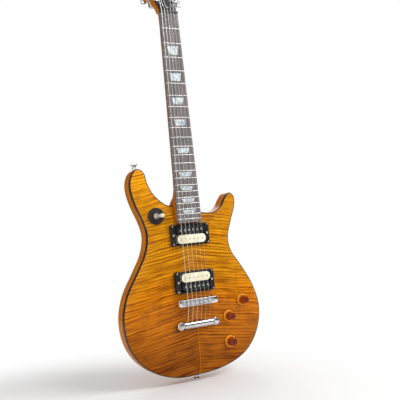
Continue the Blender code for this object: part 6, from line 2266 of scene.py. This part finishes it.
@dataclass
class Knob:
    """One bell knob: a clear amber shell over a dark core and a dished cap, on its split shaft."""

    name: str
    radius: float = 0.0128
    height: float = 0.0195
    shaft_radius: float = 0.0030
    bell: tuple[Point, ...] = ((0.0, 0.93), (0.30, 0.935), (0.48, 0.95), (0.52, 1.0), (0.57, 0.985),
        (0.61, 0.92), (0.63, 0.72), (0.69, 0.48), (0.82, 0.25), (0.955, 0.15), (1.0, 0.10))
    cap: tuple[Point, ...] = ((0.0, 0.992), (0.08, 0.988), (0.15, 0.97), (0.26, 0.965), (0.38, 0.98),
        (0.45, 0.975), (0.48, 0.955), (0.48, 0.90), (0.0, 0.90))

    def build(self) -> None:
        """Make the knob's pieces."""
        name, radius = self.name, self.radius
        low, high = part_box(f"{name}_knob")
        x, z = KNOB_PLACES[name]
        base = low.y + self.height - BRIDGE.translation.y
        place = facing(x, base, z)
        curve, disc = ([(share * radius, height * self.height) for share, height in profile]
            for profile in (softened(self.bell), self.cap))
        rim = [(radius, 0.0003), (radius - 0.0003, 0.0), (0.0, 0.0)]
        make_piece(f"{name}_bell", Form.turned(curve + rim, 72).placed(place), AMBER, f"{name}_knob",
            body=name)
        make_piece(f"{name}_cap", Form.turned(disc).placed(place), AMBER_CORE, body=name)
        inner = [(out * 0.80, 0.0006 + height * 0.86) for out, height in curve]
        core = Form.turned(inner + [(radius * 0.80, 0.0004), (0.0, 0.0004)])
        make_piece(f"{name}_core", core.placed(place), AMBER_CORE, body=name)
        depth = high.y - BRIDGE.translation.y - base
        shaft = Form.rod(self.shaft_radius, (0.0, 0.0, -depth), (0.0, 0.0, 0.0003), 28, 0.0002)
        shaft = shaft.boolean(Union3.CUT, Form.slit(0.004, 0.0004, -0.0060, OVERCUT))
        make_piece(f"{name}_shaft", shaft.placed(place), BRASS, body=name)


@dataclass
class Selector:
    """The pickup selector: a round plate, a nut on a bush, the switch behind them and its lever."""

    washer_radius: float = 0.0180
    washer_thickness: float = 0.0015
    bush_radius: float = 0.0060
    nut_radius: float = 0.0072
    nut_thickness: float = 0.0028
    nut_notches: int = 36
    bore_radius: float = 0.0034
    pivot_depth: float = 0.0040
    frame_width: float = 0.0160
    frame_height: float = 0.0220
    frame_depth: float = 0.0180
    throw: float = math.radians(17.0)
    stem_radius: float = 0.0014
    ball_radius: float = 0.0029
    lever_length: float = 0.0245
    tip_radius: float = 0.0043
    tip_length: float = 0.0135

    def __post_init__(self) -> None:
        """Find how far the switch stands in front of the flat of the top."""
        low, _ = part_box("toggle_switch")
        self.front = BRIDGE.translation.y - low.y
        self.washer_front = self.front - self.nut_thickness

    def plate(self) -> Form:
        """Return the round plate under the nut.

        Returns:
            The plate.
        """
        bush, rim, front = self.bush_radius, self.washer_radius, self.washer_front
        back = front - self.washer_thickness
        return Form.turned([(bush, front), (rim - 0.0014, front), (rim - 0.0005, front - 0.0002),
            (rim, front - 0.0007), (rim, back), (bush, back), (bush, front)], 96)

    def nut(self) -> Form:
        """Return the notched nut and the bush that it is screwed on.

        Returns:
            The nut and the bush.
        """
        outline = notched_ring(self.nut_radius, self.nut_notches, (0.0, 0.5, 0.62, 0.88))
        ring = Form.slab(outline, -self.front + 0.0006, -self.washer_front - 0.00002).placed(
            FACE_FRONT.inverted())
        inner, outer, front, back = self.bore_radius, self.bush_radius, self.front, -BACK_FRONT
        bush = [(inner + 0.0006, front), (outer - 0.0006, front), (outer, front - 0.0006), (outer, back),
            (inner, back), (inner, front - 0.0008), (inner + 0.0006, front)]
        return ring.with_parts(Form.turned(bush, 56))

    def frame(self) -> Form:
        """Return the switch behind the top: its frame with three solder lugs.

        Returns:
            The switch.
        """
        half_x, half_z, end = self.frame_width / 2, self.frame_height / 2, BACK_FRONT + self.frame_depth
        frame = Form.block((-half_x, BACK_FRONT, -half_z), (half_x, end - 0.003, half_z), 0.0006, 2)
        lugs = [Form.block((-0.0009, end - 0.0035, z - 0.0003), (0.0009, end, z + 0.0003)) for z in (-0.006,
            0.0, 0.006)]
        return frame.with_parts(*lugs)

    def lever(self) -> tuple[Form, Form]:
        """Return the steel stem with its ball, and the tip on it.

        Returns:
            The stem and the tip.
        """
        length, radius, root = self.lever_length, self.tip_radius, self.lever_length - self.tip_length
        ball = [on_circle(self.ball_radius, math.radians(angle)) for angle in range(55, -90, -15)]
        stem = Form.turned([(0.0, root + 0.003), (self.stem_radius, root + 0.003),
            (self.stem_radius, 0.0035)] + ball + [(0.0, -self.ball_radius)], 32)
        curve = softened([(0.0, length), (radius * 0.62, length - 0.0006), (radius * 0.92, length - 0.0022),
            (radius, length - 0.0045), (radius * 0.86, length - 0.0085), (radius * 0.6, root + 0.0010),
            (radius * 0.52, root + 0.0002)])
        return stem, Form.turned(curve + [(radius * 0.42, root), (0.0, root)])

    def build(self) -> None:
        """Make the selector's pieces."""
        place = BRIDGE @ shifted(SWITCH_PLACE[0], 0.0, SWITCH_PLACE[1])
        make_piece("selector_nut", self.nut().placed(place @ FACE_FRONT), NICKEL, "toggle_switch")
        make_piece("selector_plate", self.plate().placed(place @ FACE_FRONT), BROWN)
        make_piece("selector_frame", self.frame().placed(place), NICKEL)
        pivot = place @ shifted(y=self.pivot_depth - self.front) @ Matrix.Rotation(self.throw, 4,
            "Z") @ FACE_FRONT
        stem, tip = self.lever()
        make_piece("selector_stem", stem.placed(pivot), CHROME, "toggle_lever", body="pickup_selector")
        make_piece("selector_tip", tip.placed(pivot), CREAM, body="pickup_selector")


@dataclass
class KeptSolids:
    """The solids that nothing stands for: the wiring behind the top and the rod in the neck."""

    finishes: tuple[tuple[str, Finish], ...] = (("wiring_harness", STEEL), ("truss_rod", STEEL))

    def build(self) -> None:
        """Give each kept solid a finish."""
        for name, finish in self.finishes:
            for slot in bpy.data.objects[name].material_slots:
                slot.material = finish.material()
            LOG.info("%s: kept as it is", name)


@dataclass(frozen=True)
class Lamp:
    """A soft square lamp."""

    name: str
    power: float
    place: Place
    size: float


@dataclass
class Studio:
    """A pale floor under soft light, a white surround, and the camera of the photograph."""

    ambient: float = 0.66
    floor_colour: Colour = (0.80, 0.80, 0.80)
    floor_size: float = 12.0
    fade_centre: Place = (-0.30, -0.10, 0.0)
    fade_start: float = 0.30
    fade_end: float = 0.70
    lamps: tuple[Lamp, ...] = (Lamp("key_lamp", 33.0, (1.0, -1.5, 1.6), 1.2),
        Lamp("fill_lamp", 6.0, (-1.5, -1.5, 1.0), 1.2), Lamp("rear_lamp", 10.0, (0.8, 2.0, 1.5), 1.4))
    target: Place = (0.0, -0.02, 0.42)
    card_places: tuple[Place, ...] = ((0.80, -1.35, 0.45), (-0.55, 1.35, 0.60))
    card_width: float = 1.90
    card_height: float = 1.80
    card_colour: Colour = (0.10, 0.095, 0.09)
    camera_place: Place = (-0.594369, -1.227163, 0.313545)
    camera_angles: Place = (92.953091, 5.389442, -27.335968)
    lens: float = 56.1215
    sensor: float = 36.0

    def surround(self) -> None:
        """Wire a world that is seen and mirrored white and lights the guitar more softly."""
        world = bpy.data.worlds.new("surround")
        world.use_nodes = True
        bpy.context.scene.world = world
        tree = Tree(world.node_tree)
        path = tree.node("ShaderNodeLightPath").outputs
        seen = tree.math("MAXIMUM", path["Is Camera Ray"], tree.math("MAXIMUM", path["Is Glossy Ray"],
            path["Is Transmission Ray"]))
        tree.put(world.node_tree.nodes["Background"].inputs["Color"],
            tree.blend(seen, (self.ambient,) * 3, (1.0, 1.0, 1.0)))

    def sheet(self, name: str, width: float, depth: float, place: Matrix,
            material: bpy.types.Material) -> bpy.types.Object:
        """Return a flat sheet that belongs to the studio.

        Args:
            name: Its name.
            width: Its width.
            depth: Its depth.
            place: Where its middle lies.
            material: Its material.

        Returns:
            The sheet.
        """
        form = Form()
        bmesh.ops.create_grid(form.shape, x_segments=1, y_segments=1, size=0.5,
            matrix=place @ Matrix.Diagonal((width, depth, 1.0, 1.0)))
        sheet = bpy.data.objects.new(name, form.to_mesh(name))
        sheet.data.materials.append(material)
        bpy.context.scene.collection.objects.link(sheet)
        return sheet

    def matt(self, name: str, colour: Colour, roughness: float) -> tuple[bpy.types.Material,
            bpy.types.Node]:
        """Return a plain material of the studio and its shader.

        Args:
            name: Its name.
            colour: Its colour.
            roughness: Its roughness.

        Returns:
            The material and the shader.
        """
        material = bpy.data.materials.new(name)
        material.use_nodes = True
        shader = material.node_tree.nodes["Principled BSDF"]
        shader.inputs["Base Color"].default_value = (*colour, 1.0)
        shader.inputs["Roughness"].default_value = roughness
        return material, shader

    def floor(self) -> None:
        """Lay a pale floor that keeps the shadow and fades into the white surround."""
        material, shader = self.matt("studio_floor", self.floor_colour, 0.9)
        shader.inputs["Specular IOR Level"].default_value = 0.1
        tree = Tree(material.node_tree)
        away = tree.node("ShaderNodeVectorMath", {0: tree.coords(), 1: self.fade_centre},
            operation="DISTANCE").outputs["Value"]
        faded = tree.times(tree.spread(away, self.fade_start, self.fade_end),
            tree.node("ShaderNodeLightPath").outputs["Is Camera Ray"])
        white = tree.node("ShaderNodeEmission")
        mixed = tree.node("ShaderNodeMixShader", {0: faded, 1: shader.outputs[0], 2: white.outputs[0]})
        tree.put(material.node_tree.nodes["Material Output"].inputs["Surface"], mixed.outputs[0])
        self.sheet("floor", self.floor_size, self.floor_size, Matrix.Translation((0.0, 0.0, -0.0002)),
            material)

    def cards(self) -> None:
        """Hang dark cards where the glossy front and side mirror them; only reflections see them."""
        material, _ = self.matt("studio_card", self.card_colour, 1.0)
        for index, place in enumerate(self.card_places):
            towards = Vector(self.target) - Vector(place)
            turn = Vector((towards.x, towards.y, 0.0)).to_track_quat("Z", "Y")
            upright = Matrix.Translation(place) @ turn.to_matrix().to_4x4()
            card = self.sheet(f"dark_card_{index}", self.card_width, self.card_height, upright, material)
            card.visible_camera = card.visible_diffuse = False
            card.visible_shadow = card.visible_transmission = False

    def light(self, lamp: Lamp) -> None:
        """Hang a lamp that looks at the guitar.

        Args:
            lamp: The lamp.
        """
        light = bpy.data.lights.new(lamp.name, "AREA")
        light.energy = lamp.power
        light.size = lamp.size
        holder = bpy.data.objects.new(lamp.name, light)
        holder.location = lamp.place
        holder.rotation_euler = (Vector(self.target) - Vector(lamp.place)).to_track_quat("-Z",
            "Y").to_euler()
        bpy.context.scene.collection.objects.link(holder)

    def camera(self) -> None:
        """Set up the camera where the photograph was taken from."""
        view = bpy.data.cameras.new("photo_camera")
        view.lens = self.lens
        view.sensor_width = self.sensor
        view.clip_start = 0.01
        camera = bpy.data.objects.new("photo_camera", view)
        camera.location = self.camera_place
        camera.rotation_euler = [math.radians(angle) for angle in self.camera_angles]
        bpy.context.scene.collection.objects.link(camera)
        bpy.context.scene.camera = camera

    def build(self) -> None:
        """Set up the whole studio."""
        bpy.context.scene.view_settings.view_transform = "Standard"
        self.surround()
        self.floor()
        self.cards()
        for lamp in self.lamps:
            self.light(lamp)
        self.camera()


def main() -> None:
    """Build the guitar's sub-assemblies in order and set them in the studio."""
    logging.basicConfig(level=logging.INFO, format="%(message)s")
    assemblies = [Body(), SideFittings(), Neck(), Pickup("neck", screw_side=1.0, pole_spacing=0.0100,
        ring_thickness=0.0080), Pickup("bridge", screw_side=-1.0, pole_spacing=0.0104,
        ring_thickness=0.0110), Bridge(), Tailpiece(), *(Tuner(index) for index in range(STRING_COUNT)),
        Strings(), *(Knob(name) for name in KNOB_PLACES), Selector(), KeptSolids(), Studio()]
    for assembly in assemblies:
        LOG.info("building %s", type(assembly).__name__)
        assembly.build()


if __name__ == "__main__":
    main()
